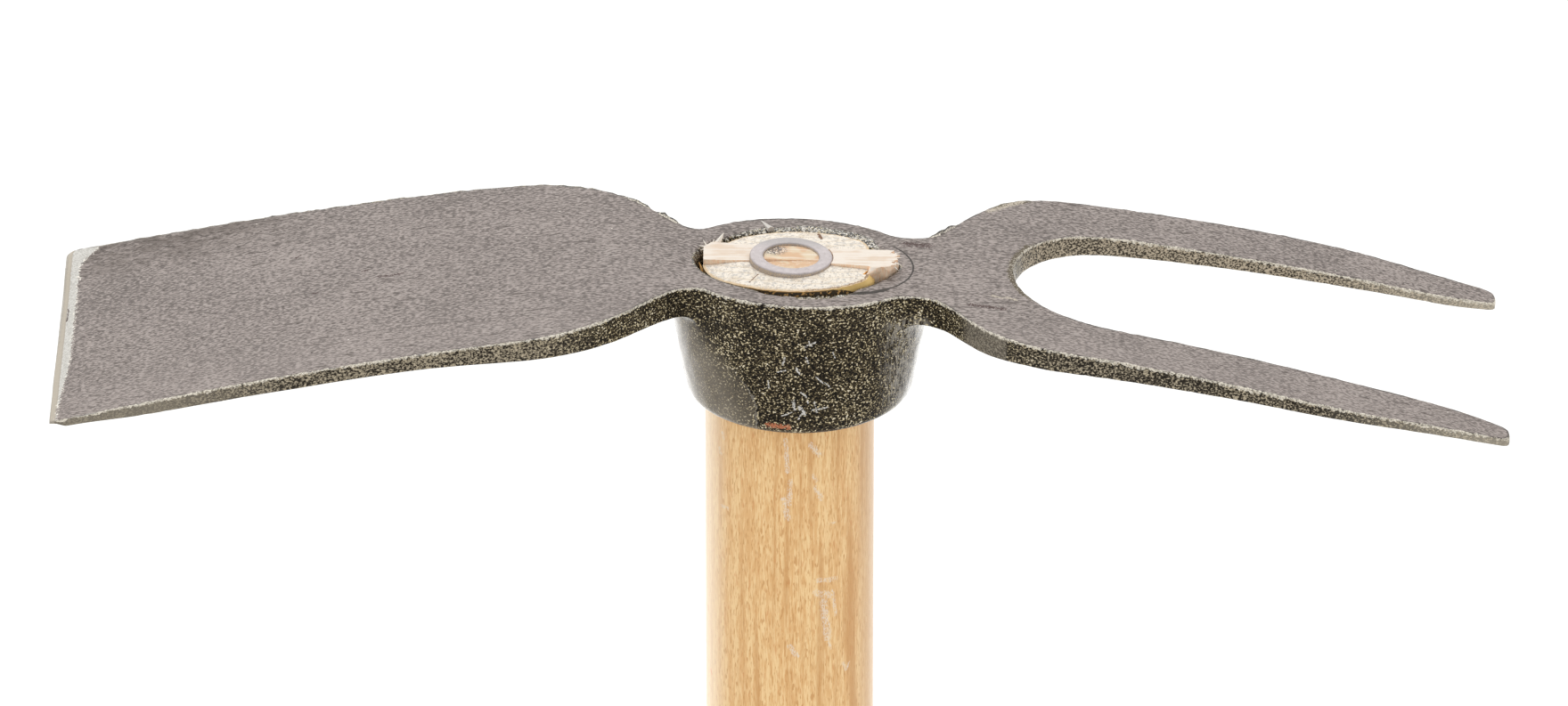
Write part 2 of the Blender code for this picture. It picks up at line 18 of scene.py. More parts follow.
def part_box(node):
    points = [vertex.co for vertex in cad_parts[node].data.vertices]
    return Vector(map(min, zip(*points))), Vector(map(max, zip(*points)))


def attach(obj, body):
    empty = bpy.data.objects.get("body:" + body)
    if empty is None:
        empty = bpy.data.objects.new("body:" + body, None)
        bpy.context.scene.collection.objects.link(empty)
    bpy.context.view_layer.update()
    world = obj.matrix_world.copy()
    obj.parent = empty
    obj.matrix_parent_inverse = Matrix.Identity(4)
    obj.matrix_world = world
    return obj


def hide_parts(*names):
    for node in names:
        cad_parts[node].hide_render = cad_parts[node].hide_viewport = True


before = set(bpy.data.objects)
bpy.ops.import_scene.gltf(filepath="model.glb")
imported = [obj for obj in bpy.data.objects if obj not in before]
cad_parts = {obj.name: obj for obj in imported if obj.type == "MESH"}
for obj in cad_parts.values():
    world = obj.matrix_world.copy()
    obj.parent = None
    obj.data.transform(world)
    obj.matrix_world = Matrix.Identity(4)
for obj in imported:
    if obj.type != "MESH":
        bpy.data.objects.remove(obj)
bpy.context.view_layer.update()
MM = 0.001
print("CAD pieces:", ", ".join(sorted(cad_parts)))

# %% [markdown]
# The photograph was taken from in front and above with a long lens, so the sides of the handle
# look nearly parallel. A camera could be aimed by hand, but here it is worked out from three
# things that were measured in the photograph: how far the view looks down on the round eye, how
# far away the lens is, and which pixel shows the middle of the eye's rim.

# %% Set up the camera
PHOTO_WIDTH, PHOTO_HEIGHT = 1760, 793
SENSOR_WIDTH = 36.0
LOOK_DOWN = math.radians(26.5)
LENS_DISTANCE = 2.4
FOCAL_PIXELS = 15000
RIM_MIDDLE = Vector((0.0017, 0.0, 1.1993))
RIM_PIXEL = (897, 295)
CLIP_END = 400.0


def placed(name, data, location=(0, 0, 0), rotation=(0, 0, 0)):
    """A new object in the scene."""
    made = bpy.data.objects.new(name, data)
    made.location = location
    made.rotation_euler = rotation
    bpy.context.collection.objects.link(made)
    return made


view_ahead = Vector((0, math.cos(LOOK_DOWN), -math.sin(LOOK_DOWN)))
view_up = Vector((0, math.sin(LOOK_DOWN), math.cos(LOOK_DOWN)))
metres_per_pixel = LENS_DISTANCE / FOCAL_PIXELS
shift_right = (PHOTO_WIDTH / 2 - RIM_PIXEL[0]) * metres_per_pixel
shift_up = (RIM_PIXEL[1] - PHOTO_HEIGHT / 2) * metres_per_pixel
camera_place = RIM_MIDDLE - LENS_DISTANCE * view_ahead + Vector((shift_right, 0, 0)) + shift_up * view_up

camera_data = bpy.data.cameras.new("photo_camera")
camera_data.sensor_width = SENSOR_WIDTH
camera_data.lens = FOCAL_PIXELS / PHOTO_WIDTH * SENSOR_WIDTH
camera_data.clip_end = CLIP_END
camera = placed("photo_camera", camera_data, camera_place, (math.pi / 2 - LOOK_DOWN, 0, 0))
bpy.context.scene.camera = camera
bpy.context.scene.view_settings.view_transform = "Standard"
print("Lens:", round(camera_data.lens, 1), "mm")

# %% [markdown]
# In a studio a tool is photographed on pale paper under large soft lamps, so its shadows are
# faint. Several area lamps could do it. One very wide sun lamp does as well, and it lights the
# floor alike however far the camera stands, so every view keeps the same white. The sky lights
# the sides from all round. In the photograph the paper behind the tool is bleached by a lamp of
# its own, and varnish mirrors it as pale streaks along the collar, so a flat lamp lies there too.

# %% Lay the floor and hang the lights
FLOOR_HALF_SIZE = 120.0
PAPER = {"Base Color": (0.93, 0.93, 0.925, 1), "Roughness": 0.95, "Specular IOR Level": 0.1}
SKY = {"Color": (1.0, 0.99, 0.975, 1), "Strength": 0.72}
LAMP_STRENGTH = 1.9
LAMP_WIDTH = math.radians(80)
LAMP_ELEVATION = math.radians(58)
LAMP_SWING = math.radians(12)
GLOW_SIZE = (4.0, 2.4)
GLOW_PLACE = (-0.8, 1.9, 0.02)
GLOW_POWER = 20.0


def object_from(name, bm):
    """An object at the origin with the mesh of a bmesh, which is freed."""
    mesh = bpy.data.meshes.new(name)
    bm.to_mesh(mesh)
    bm.free()
    return placed(name, mesh)


def set_inputs(node, values):
    """Set the inputs of a node to constants."""
    for name, value in values.items():
        node.inputs[name].default_value = value


bm = bmesh.new()
bmesh.ops.create_grid(bm, x_segments=1, y_segments=1, size=FLOOR_HALF_SIZE)
floor = object_from("floor", bm)
paper = bpy.data.materials.new("floor_paper")
paper.use_nodes = True
set_inputs(paper.node_tree.nodes["Principled BSDF"], PAPER)
floor.data.materials.append(paper)

world = bpy.data.worlds.new("studio")
world.use_nodes = True
set_inputs(world.node_tree.nodes["Background"], SKY)
bpy.context.scene.world = world

lamp_data = bpy.data.lights.new("overhead_lamp", "SUN")
lamp_data.energy = LAMP_STRENGTH
lamp_data.angle = LAMP_WIDTH
placed("overhead_lamp", lamp_data, rotation=(LAMP_ELEVATION - math.pi / 2, 0, LAMP_SWING))

glow_data = bpy.data.lights.new("paper_glow", "AREA")
glow_data.shape = "RECTANGLE"
glow_data.size, glow_data.size_y = GLOW_SIZE
glow_data.energy = GLOW_POWER
glow = placed("paper_glow", glow_data, GLOW_PLACE, (math.pi, 0, 0))
glow.visible_camera = False
print("Lights: one wide lamp, an even sky and the bleached paper behind the tool")

# %% [markdown]
# Every finish here is procedural: noise patterns on Object coordinates, which are metres in the
# frame of the CAD. Wiring nodes one by one is slow to read, so two small classes do it. A Value is
# the output of a node, and to add, multiply or mix values adds the nodes for it. A Finish is a
# material whose methods add one pattern each, with sizes in millimetres, and wire the shader.

# %% Values that can be reckoned with
class Value:
    """A number or a colour in a finish. Reckoning with it adds nodes."""

    def __init__(self, finish, socket):
        self.finish = finish
        self.socket = socket

    def __add__(self, other):
        return self.finish.math("ADD", self, other)

    def __sub__(self, other):
        return self.finish.math("SUBTRACT", self, other)

    def __mul__(self, other):
        return self.finish.math("MULTIPLY", self, other)

    def __truediv__(self, other):
        return self.finish.math("DIVIDE", self, other)

    def __abs__(self):
        return self.finish.math("ABSOLUTE", self)

    def at_least(self, other):
        return self.finish.math("MAXIMUM", self, other)

    def band(self, low, high):
        """0 below low, 1 above high, smooth between. Low above high turns it round."""
        inputs = {"Value": self, "From Min": low, "From Max": high}
        return self.finish.add("ShaderNodeMapRange", interpolation_type="SMOOTHSTEP", inputs=inputs)

    def between(self, low, high):
        """A number that is low where this is 0 and high where it is 1."""
        inputs = {"Value": self, "To Min": low, "To Max": high}
        return self.finish.add("ShaderNodeMapRange", inputs=inputs)

    def mix(self, low, high):
        """A colour that is low where this is 0 and high where it is 1."""
        inputs = {0: self, 6: low, 7: high}
        return self.finish.add("ShaderNodeMix", output=2, data_type="RGBA", inputs=inputs)


def feed(socket, value):
    """Lead a value, a colour or a plain number to an input."""
    if isinstance(value, Value):
        socket.id_data.links.new(value.socket, socket)
    elif socket.type == "RGBA":
        socket.default_value = (*value, 1)
    else:
        socket.default_value = value


print("Values ready")

# %% A finish and its patterns
FRONT = (0, -1, 0)
UP = (0, 0, 1)
FRAY = 0.9


class Finish:
    """A material in the making. Patterns are in millimetres of Object coordinates."""

    def __init__(self, name):
        self.material = bpy.data.materials.new(name)
        self.material.use_nodes = True
        self.tree = self.material.node_tree
        self.here = self.add("ShaderNodeTexCoord", output="Object")
        self.x, self.y, self.z = self.parts(self.here)

    def add(self, kind, output=0, inputs=None, **settings):
        """One of the outputs of a new node."""
        made = self.tree.nodes.new(kind)
        for name, value in settings.items():
            setattr(made, name, value)
        for name, value in (inputs or {}).items():
            feed(made.inputs[name], value)
        return Value(self, made.outputs[output])

    def parts(self, vector):
        """The three coordinates of a vector."""
        node = self.add("ShaderNodeSeparateXYZ", inputs={"Vector": vector}).socket.node
        return [Value(self, socket) for socket in node.outputs]

    def math(self, kind, first, second=0.0, clamped=False):
        inputs = {0: first, 1: second}
        return self.add("ShaderNodeMath", operation=kind, use_clamp=clamped, inputs=inputs)

    def vector(self, kind, first, second=(0, 0, 0)):
        output = "Value" if kind in ("DOT_PRODUCT", "LENGTH", "DISTANCE") else "Vector"
        inputs = {0: first, 1: second}
        return self.add("ShaderNodeVectorMath", output=output, operation=kind, inputs=inputs)

    def stretched(self, stretch, shift=(0, 0, 0)):
        """Object coordinates in millimetres, with a pattern drawn out along each axis."""
        scale = [1 / (MM * value) for value in stretch]
        place = {"Vector": self.here, "Location": shift, "Scale": scale}
        return self.add("ShaderNodeMapping", inputs=place)

    def cloud(self, size, stretch=(1, 1, 1), detail=2.0, rough=0.5, seed=0.0):
        """Noise from 0 to 1 with lumps of about a size."""
        place = self.stretched(stretch, (seed, 2 * seed, 3 * seed))
        inputs = {"Vector": place, "Scale": 1 / size, "Detail": detail, "Roughness": rough}
        return self.add("ShaderNodeTexNoise", output="Fac", inputs=inputs)

    def mark(self, name):
        """A value that the mesh carries at each corner."""
        return self.add("ShaderNodeAttribute", output="Fac", attribute_name=name)

    def facing(self, way):
        """How much the surface faces a way, from -1 to 1."""
        return self.vector("DOT_PRODUCT", self.add("ShaderNodeNewGeometry", output="Normal"), way)

    def level_way(self, middle):
        """The level way to here from the upright line through a point."""
        return self.vector("MULTIPLY", self.vector("SUBTRACT", self.here, middle), (1, 1, 0))

    def zone(self, *limits):
        """1 inside a zone. Each limit is an axis, where the zone begins and where it is full."""
        inside = None
        for axis, begins, full in limits:
            share = getattr(self, axis).band(begins, full)
            inside = share if inside is None else inside * share
        return inside

    def stroke(self, start, end, width, ragged):
        """1 within a width of the line between two points, fraying where ragged is low."""
        run = end - start
        away = self.vector("SUBTRACT", self.here, start)
        along = self.vector("DOT_PRODUCT", away, run / run.length_squared)
        held = self.math("ADD", along, 0.0, clamped=True)
        foot = self.add("ShaderNodeVectorMath", operation="SCALE", inputs={0: run, "Scale": held})
        gap = self.vector("DISTANCE", away, foot) + ragged.between(width * FRAY, -width * FRAY)
        return gap.band(width, width / 2)

    def done(self, height, relief, **inputs):
        """Wire the shader. Height is a pattern and relief its depth in metres."""
        shader = self.tree.nodes["Principled BSDF"]
        bump = {"Height": height, "Distance": relief, "Strength": 1.0}
        feed(shader.inputs["Normal"], self.add("ShaderNodeBump", inputs=bump))
        for name, value in inputs.items():
            feed(shader.inputs[name.replace("_", " ")], value)
        return self.material


print("Finish helper ready")

# %% [markdown]
# The head is one forging. Its CAD solid has the right shape but only a few thousand flat faces,
# and forged steel is never flat: it has broad waves from the die, pits from scale, a torn rim
# where the flash was trimmed off, and edges worn bright. Sculpting that by hand would be lost at
# the next change of size. So a copy of the CAD mesh is merged, smoothed by subdivision, cut finer
# where detail shows most, and then pushed in and out by noise.

# %% Merge and smooth a copy of the head
SAME_PLACE = 0.001 * MM
CREASE_ANGLE = math.radians(52)
FLATNESS = 0.6
SKEWNESS = 1.2


def shaped_by_modifiers(thing, tools=()):
    """A bmesh of an object as its modifiers shape it. The object and its tools are removed."""
    depsgraph = bpy.context.evaluated_depsgraph_get()
    made = bpy.data.meshes.new_from_object(thing.evaluated_get(depsgraph))
    shaped = bmesh.new()
    shaped.from_mesh(made)
    bpy.data.meshes.remove(made)
    for spare in (thing, *tools):
        spare_mesh = spare.data
        bpy.data.objects.remove(spare)
        bpy.data.meshes.remove(spare_mesh)
    return shaped


head_low, head_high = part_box("hoe_head")
bm = bmesh.new()
bm.from_mesh(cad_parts["hoe_head"].data)
crease_layer = bm.edges.layers.float.new("crease_edge")
bmesh.ops.remove_doubles(bm, verts=bm.verts, dist=SAME_PLACE)
bmesh.ops.join_triangles(bm, faces=bm.faces, angle_face_threshold=FLATNESS, angle_shape_threshold=SKEWNESS)
for edge in bm.edges:
    if edge.calc_face_angle() > CREASE_ANGLE:
        edge[crease_layer] = 1.0
head_blank = object_from("head_blank", bm)
smoothing = head_blank.modifiers.new("smooth", "SUBSURF")
smoothing.levels = 1
smoothing.render_levels = 1
head_bm = shaped_by_modifiers(head_blank)
print("Head of", round((head_high.x - head_low.x) / MM, 1), "mm, smoothed to", len(head_bm.faces), "faces")

# %% [markdown]
# The eye is the hole that the handle fills. Half an ellipse bounds it towards the blade, and two
# arcs that meet in a point bound it towards the fork. Several later steps ask how far a point lies
# from its edge or below the flat ring round it, so short functions answer that.

# %% Measure from the eye
HEAD_TOP = RIM_MIDDLE.z
HEAD_TILT = 0.045
EYE_MIDDLE = Vector((0.0014, 0.0))
EYE_HALF_LENGTH = 0.0184
EYE_HALF_WIDTH = 0.0125


def fork_arc(inset=0.0):
    """Radius of the two arcs of the pointed half, and how far their middles lie past the axis."""
    half_length = EYE_HALF_LENGTH - inset
    half_width = EYE_HALF_WIDTH - inset
    radius = (half_length**2 + half_width**2) / (2 * half_width)
    return radius, radius - half_width


def eye_gap(place):
    """Distance from the hole's edge in metres, less than 0 inside the hole."""
    x = place.x - EYE_MIDDLE.x
    if x < 0:
        share = math.hypot(x / EYE_HALF_LENGTH, place.y / EYE_HALF_WIDTH)
    else:
        radius, sunk = fork_arc()
        share = math.hypot(x, abs(place.y) + sunk) / radius
    return (share - 1) * EYE_HALF_WIDTH


def depth_below_ring(place):
    """How far a point lies below the flat ring round the eye, which falls towards the fork."""
    return HEAD_TOP - HEAD_TILT * (place.x - RIM_MIDDLE.x) - place.z


print("The fork's arcs have a radius of", round(fork_arc()[0] / MM, 1), "mm")

# %% [markdown]
# Noise can only shape corners that are there. Cutting the whole head as fine as the rim needs
# would give a mesh of millions of faces. So each edge is compared with the length that is wanted
# where it lies, fine round the rim, coarse elsewhere and coarser still in the hidden bore.

# %% Cut the faces finer where detail shows
COARSE_EDGE = 0.95 * MM
FINE_EDGE = 0.42 * MM
HIDDEN_EDGE = 2.2 * MM
FINE_MARGIN = 0.0042
FINE_REACH = 0.026
WALL_MARGIN = 0.0012
BORE_SEEN_DEPTH = 0.005
LONGEST_SHARE = 1.35
CUT_ROUNDS = 5


def wanted_edge(place):
    """The length of edge that is wanted at a point."""
    gap = eye_gap(place)
    hidden = depth_below_ring(place) > BORE_SEEN_DEPTH
    if gap < WALL_MARGIN and hidden:
        return HIDDEN_EDGE
    if abs(gap) < FINE_MARGIN and abs(place.x) < FINE_REACH and not hidden:
        return FINE_EDGE
    return COARSE_EDGE


for cut_round in range(CUT_ROUNDS):
    long_edges = []
    for edge in head_bm.edges:
        middle = (edge.verts[0].co + edge.verts[1].co) / 2
        if edge.calc_length() > LONGEST_SHARE * wanted_edge(middle):
            long_edges.append(edge)
    if not long_edges:
        break
    bmesh.ops.subdivide_edges(head_bm, edges=long_edges, cuts=1, use_grid_fill=True)
bmesh.ops.triangulate(head_bm, faces=[face for face in head_bm.faces if len(face.verts) > 4])
print("Head after cutting:", sum(len(face.verts) - 2 for face in head_bm.faces), "triangles")

# %% [markdown]
# The finish changes over the forging: smooth grey scale on the flats, dark crumbly steel on the
# trimmed sides, bare metal on the arrises and the ground edge. The direction a face points in
# tells these apart, but only before noise has tilted it. So each corner is marked first, on the
# still smooth mesh, and the material reads the marks later.

# %% Widths of the ground strip and the torn lip
GROUND_WIDTH = 2.65 * MM
GROUND_BACK_FLARE = 3.7 * MM
GROUND_FRONT_LOSS = 1.5 * MM
BACK_FLARES = (0.023, 0.036)
FRONT_NARROWS = (0.009, 0.033)
LIP_BACK_WIDTHS = (0.4 * MM, 1.5 * MM)
LIP_BACK_WIDENS = (-0.013, -0.004)
LIP_BACK_ENDS = (0.0175, 0.0145)
LIP_FRONT_WIDTH = 1.3 * MM
LIP_FRONT_BEGINS = (-0.007, -0.002)
LIP_FRONT_ENDS = (0.0125, 0.0095)


def ramp(value, low, high):
    """0 at low and 1 at high, held outside them, starting and stopping gently."""
    share = min(1.0, max(0.0, (value - low) / (high - low)))
    return share * share * (3.0 - 2.0 * share)


def ground_width(y):
    """Width of the bare strip along the cutting edge, wider at the far corner."""
    flare = GROUND_BACK_FLARE * ramp(y, *BACK_FLARES) ** 2
    return GROUND_WIDTH + flare - GROUND_FRONT_LOSS * ramp(-y, *FRONT_NARROWS)


def lip_width(place):
    """Width of the torn lip round the hole: broad at the back, narrow in front, none at the ends."""
    if place.y > 0:
        narrow, more = LIP_BACK_WIDTHS
        return (narrow + more * ramp(place.x, *LIP_BACK_WIDENS)) * ramp(place.x, *LIP_BACK_ENDS)
    return LIP_FRONT_WIDTH * ramp(place.x, *LIP_FRONT_BEGINS) * ramp(place.x, *LIP_FRONT_ENDS)


print("Ground strip at the far corner:", round(ground_width(head_high.y) / MM, 1), "mm")

# %% Mark each surface of the head
MARK_NAMES = ("top", "under", "arris", "wear", "lip", "bore", "ground", "edge_gap")
WEAR_REACH = 1.5 * MM
HOLE_REACH = 0.024
HOLE_MARGIN = 0.004
RISE_ABOVE_RING = 0.001
RIM_WIDTH = 2 * MM
LEAST_EDGE_GAP = 1
TOP_SLOPE = (0.78, 0.92)
UNDER_SLOPE = (0.55, 0.85)
ARRIS_SLOPE = (0.4, 0.8)
ARRIS_BEGINS = (0.18, 0.48)
ARRIS_ENDS = (0.95, 0.83)
LIP_FADE = 0.2 * MM
LIP_DEPTH = (1.6 * MM, 0.6 * MM)
LIP_LEAST_WIDTH = 0.3 * MM


def is_near_hole(place):
    below = depth_below_ring(place)
    return abs(place.x) < HOLE_REACH and eye_gap(place) < HOLE_MARGIN and below > -RISE_ABOVE_RING


def lip_share(place):
    """How much a point near the hole belongs to its torn lip."""
    width = lip_width(place)
    within = ramp(width - eye_gap(place), -LIP_FADE, LIP_FADE)
    return within * ramp(depth_below_ring(place), *LIP_DEPTH) * ramp(width, 0, LIP_LEAST_WIDTH)


head_bm.normal_update()
marks = {name: head_bm.verts.layers.float.new(name) for name in MARK_NAMES}
arris_places = []
for vert in head_bm.verts:
    place = vert.co
    up = vert.normal.z
    near_hole = is_near_hole(place)
    facing_in = vert.normal.x * (place.x - EYE_MIDDLE.x) + vert.normal.y * place.y < 0
    lip = lip_share(place) if near_hole else 0.0
    edge_gap = (place.x - head_low.x) / MM
    vert[marks["lip"]] = lip
    vert[marks["bore"]] = float(near_hole and facing_in and up < ARRIS_SLOPE[1])
    vert[marks["top"]] = ramp(up, *TOP_SLOPE) * (1 - lip)
    vert[marks["under"]] = ramp(-up, *UNDER_SLOPE)
    vert[marks["edge_gap"]] = edge_gap
    vert[marks["ground"]] = ground_width(place.y) / MM - edge_gap
    on_rim = near_hole and eye_gap(place) < RIM_WIDTH
    if not on_rim and ARRIS_SLOPE[0] < up < ARRIS_SLOPE[1] and edge_gap > LEAST_EDGE_GAP:
        arris_places.append(place)
        vert[marks["arris"]] = ramp(up, *ARRIS_BEGINS) * ramp(up, *ARRIS_ENDS)
arris_tree = KDTree(len(arris_places))
for number, place in enumerate(arris_places):
    arris_tree.insert(place, number)
arris_tree.balance()
for vert in head_bm.verts:
    vert[marks["wear"]] = max(0.0, 1 - arris_tree.find(vert.co)[2] / WEAR_REACH)
print("Marks on", len(head_bm.verts), "corners:", ", ".join(MARK_NAMES))

# %% [markdown]
# A blade is ground thinner towards its cutting edge, and its corners are blunted so that they
# don't catch. The CAD keeps one thickness and square corners there. A ray from above and one from
# below give the thickness at each corner of the mesh, which is then squeezed towards the top.

# %% Thin the cutting edge and blunt its corners
THIN_REACH = 17.0
THIN_END = 2.0
THIN_LOSS = 0.85 * MM
THINNEST = 0.3 * MM
BACK_LIFT = 1.1 * MM
BACK_LIFT_REACH = (4.4, 0.6)
BACK_LIFT_SPAN = (0.016, 0.028)
BLUNT_ENDS = ((1, 3.2 * MM), (-1, 1.1 * MM))
RAY_START = 0.05
INSIDE_EDGE = 0.15 * MM
INSIDE_SIDES = 0.99

blade_tree = BVHTree.FromBMesh(head_bm)
tip_verts = [vert for vert in head_bm.verts if vert[marks["edge_gap"]] < THIN_REACH + THIN_END]
tip_half_width = max(abs(vert.co.y) for vert in tip_verts if vert[marks["edge_gap"]] < THIN_END)


def surface_heights(place):
    """Heights of the blade's top and underside at a point, taken just inside its outline."""
    x = max(place.x, head_low.x + INSIDE_EDGE)
    y = place.y * INSIDE_SIDES
    top = blade_tree.ray_cast(Vector((x, y, HEAD_TOP + RAY_START)), Vector((0, 0, -1)))[0]
    foot = blade_tree.ray_cast(Vector((x, y, HEAD_TOP - 2 * RAY_START)), Vector((0, 0, 1)))[0]
    return (top.z, foot.z) if top and foot else (place.z, place.z)


def blunted(along, across, radius):
    """A point of a square corner moved onto a round one. Both values grow towards the corner."""
    if along <= 0 or across <= 0:
        return along, across
    along, across = min(along, radius), min(across, radius)
    half = 2 * radius**2
    return along * math.sqrt(1 - across**2 / half), across * math.sqrt(1 - along**2 / half)


tip_places = {}
for vert in tip_verts:
    place = vert.co.copy()
    edge_gap = vert[marks["edge_gap"]]
    top, foot = surface_heights(place)
    thickness = top - foot
    if thickness > THINNEST:
        loss = THIN_LOSS * ramp(edge_gap, THIN_REACH + THIN_END, THIN_END)
        left_over = max(THINNEST, thickness - loss) / thickness
        place.z = top - (top - place.z) * left_over
    place.z += BACK_LIFT * ramp(edge_gap, *BACK_LIFT_REACH) * ramp(place.y, *BACK_LIFT_SPAN)
    for side, radius in BLUNT_ENDS:
        along = radius - (place.x - head_low.x)
        across = radius - (tip_half_width - side * place.y)
        new_along, new_across = blunted(along, across, radius)
        place.x -= new_along - along
        place.y += side * (new_across - across)
    tip_places[vert] = place
for vert, place in tip_places.items():
    vert.co = place
print("Cutting edge half width:", round(tip_half_width / MM, 1), "mm")

# %% [markdown]
# Hammer, rolls and shears each leave a relief of their own size: broad waves, a fine grain, small
# pits, crumbs on the sides and nicks on the arrises. Each is one noise of mathutils, weighted by
# the marks and laid along the corner's normal. A Displace modifier could do one of them, but not
# a sum that differs from mark to mark.

# %% Push the forging in and out
WAVES = ((0.11, 19 * MM, 1.0, 1.0), (0.035, 6 * MM, 2.0, 1.8))
FLAT_GRAIN = ((0.022, 1.9 * MM, 4.0, 2.6), (0.012, 0.9 * MM, 5.0, 2.2))
SIDE_CRUMBS = ((0.10, 2.4 * MM, 7.0, 1.0), (0.07, 1.1 * MM, 8.0, 1.0))
LIP_TEARS = ((0.30, 1.2 * MM, 9.0, 1.0), (0.20, 0.6 * MM, 10.0, 1.0))
LIP_LOSS = 0.10
PIT_DEPTH = 0.09
NICK_DEPTH = 0.14
NICK_CRUMBS = ((0.05, 0.7 * MM, 12.0, 1.0),)
BURR_TEARS = ((0.9, 1.1 * MM, 3.0, 1.0),)
BURR_MEAN = 0.75
BURR_HEIGHT = 1.05 * MM
BURR_LEAN = 0.45
LEAST_ARRIS = 0.05
BACK_BURRS = ((-0.0274, 0.0022, 0.5), (-0.0217, 0.0017, 1.15), (0.0278, 0.0017, 1.1), (0.0392, 0.003, 0.15))
FRONT_BURRS = ((0.0272, 0.002, 0.35), (-0.0262, 0.003, 0.25))
RIM_FILL = 0.9
RIM_FILL_DEPTH = 1.1 * MM
RIM_FILL_GAPS = (-0.1 * MM, 1.2 * MM)
NARROW_LIP = 0.5 * MM


def lumps(place, size, seed, drawn_out=1.0):
    """Noise from -1 to 1 with lumps of about a size, drawn out along X."""
    at = Vector((place.x / drawn_out, place.y, place.z)) / size
    return noise.noise(at + Vector((seed, -1.7 * seed, 0.6 * seed)))


def layered(place, layers):
    """A sum of noises. Each has a height, a size of lumps, a seed and how far it is drawn out."""
    return sum(height * lumps(place, size, seed, drawn_out) for height, size, seed, drawn_out in layers)


def burr_height(place):
    """How far the torn flash stands up at the necks."""
    burrs = BACK_BURRS if place.y > 0 else FRONT_BURRS
    torn_share = BURR_MEAN + layered(place, BURR_TEARS)
    bells = (size * math.exp(-(((place.x - x) / length) ** 2)) for x, length, size in burrs)
    return BURR_HEIGHT * torn_share * sum(bells)


def relief(vert):
    """How far a corner of the head moves out along its normal, in millimetres."""
    place = vert.co
    top, under, arris, lip, bore = (vert[marks[name]] for name in ("top", "under", "arris", "lip", "bore"))
    side = max(0.0, 1 - top - under - bore)
    near_edge = ramp(vert[marks["edge_gap"]], 0, 4)
    pit = -PIT_DEPTH * ramp(lumps(place, 1.5 * MM, 6.0), 0.42, 0.62)
    flat = layered(place, FLAT_GRAIN) + pit
    crumb = layered(place, SIDE_CRUMBS) * side * (0.25 + 0.75 * near_edge)
    torn_lip = layered(place, LIP_TEARS) - LIP_LOSS
    nick = -NICK_DEPTH * ramp(lumps(place, 1.4 * MM, 11.0), -0.1, 0.4) + layered(place, NICK_CRUMBS)
    out = layered(place, WAVES) * (1 - lip) + (top + under) * flat + crumb
    return out + lip * torn_lip + arris * nick * near_edge


pushes = {}
for vert in head_bm.verts:
    place = vert.co
    arris = vert[marks["arris"]]
    push = vert.normal * relief(vert) * MM
    if arris > LEAST_ARRIS:
        sideways = Vector((vert.normal.x, vert.normal.y, 0))
        push += arris * burr_height(place) * (Vector((0, 0, 1)) + BURR_LEAN * sideways)
    below = depth_below_ring(place)
    beside_hole = is_near_hole(place) and RIM_FILL_GAPS[0] < eye_gap(place) < RIM_FILL_GAPS[1]
    if beside_hole and 0 < below < RIM_FILL_DEPTH:
        push.z += RIM_FILL * below * (1 - min(1.0, lip_width(place) / NARROW_LIP))
    pushes[vert] = push
for vert, push in pushes.items():
    vert.co += push
head_tree = BVHTree.FromBMesh(head_bm)
print("Largest push:", round(max(push.length for push in pushes.values()) / MM, 2), "mm")

# %% [markdown]
# Small marks such as scratches and specks belong where the photograph shows them. Guessing
# their coordinates would take many tries. Looking through the camera at a pixel and asking which
# point of the mesh it meets gives the place at once, on the surface and in the right scale.

# %% Find the point behind a pixel
RIM_FRONT_PIXEL = (897, 335)


def behind_pixel(tree, pixel):
    """The point of a piece that the camera sees at a pixel of the photograph."""
    right = (pixel[0] - PHOTO_WIDTH / 2) / FOCAL_PIXELS
    up = (PHOTO_HEIGHT / 2 - pixel[1]) / FOCAL_PIXELS
    ray = view_ahead + Vector((right, 0, 0)) + up * view_up
    return tree.ray_cast(camera.location, ray.normalized())[0]


def seen_stroke(finish, tree, start, end, width, ragged):
    """A stroke between two pixels of the photograph, on the piece behind them."""
    return finish.stroke(behind_pixel(tree, start), behind_pixel(tree, end), width * MM, ragged)


print("The rim's front lies at", behind_pixel(head_tree, RIM_FRONT_PIXEL))

# %% [markdown]
# The head is coated with dark scale under a thin varnish. On the flats the hammer and the rolls
# have drawn it into a short pebbled grain along the head, warm grey with dark dashes, hairlines
# and a few bright specks. That warm grey is partly painted sheen: the flats take a lighter colour
# than the scale on the sides, standing in for the bright paper that they mirror. One material with
# marks was chosen over four separate ones, because the finishes run into each other.

# %% Finish the forged steel: the flats
GRAIN_DARK = (0.112, 0.092, 0.082)
GRAIN_LIGHT_AND_SHEEN = (0.348, 0.300, 0.278)
DASH = (0.060, 0.044, 0.035)
SPECK_AND_GLINT = (0.80, 0.76, 0.68)
BACK_BROWN = (0.092, 0.070, 0.055)
SPECK_SPACING = 5.0
SPECK_SHARE = 0.034
BLADE_BACK = (("y", 0.014, 0.034), ("x", -0.080, -0.105))
FRONT_HALF = ("y", -0.012, -0.030)

steel = Finish("forged_steel")
grain = steel.cloud(0.31, stretch=(2.6, 1, 1), detail=2.0, rough=0.5)
broad_grain = steel.cloud(2.6, stretch=(2.5, 1, 1), detail=2.0, seed=21)
patches = steel.cloud(18.0, detail=1.0, seed=33)
dashes = steel.cloud(0.55, stretch=(2.6, 1, 1), detail=1.0, seed=45)
hairs = steel.cloud(0.8, stretch=(15, 1, 1), detail=1.0, seed=49)
fray = steel.cloud(0.7, detail=2.0, seed=71)
crumbly = steel.cloud(0.38, detail=3.0, rough=0.7, seed=97)

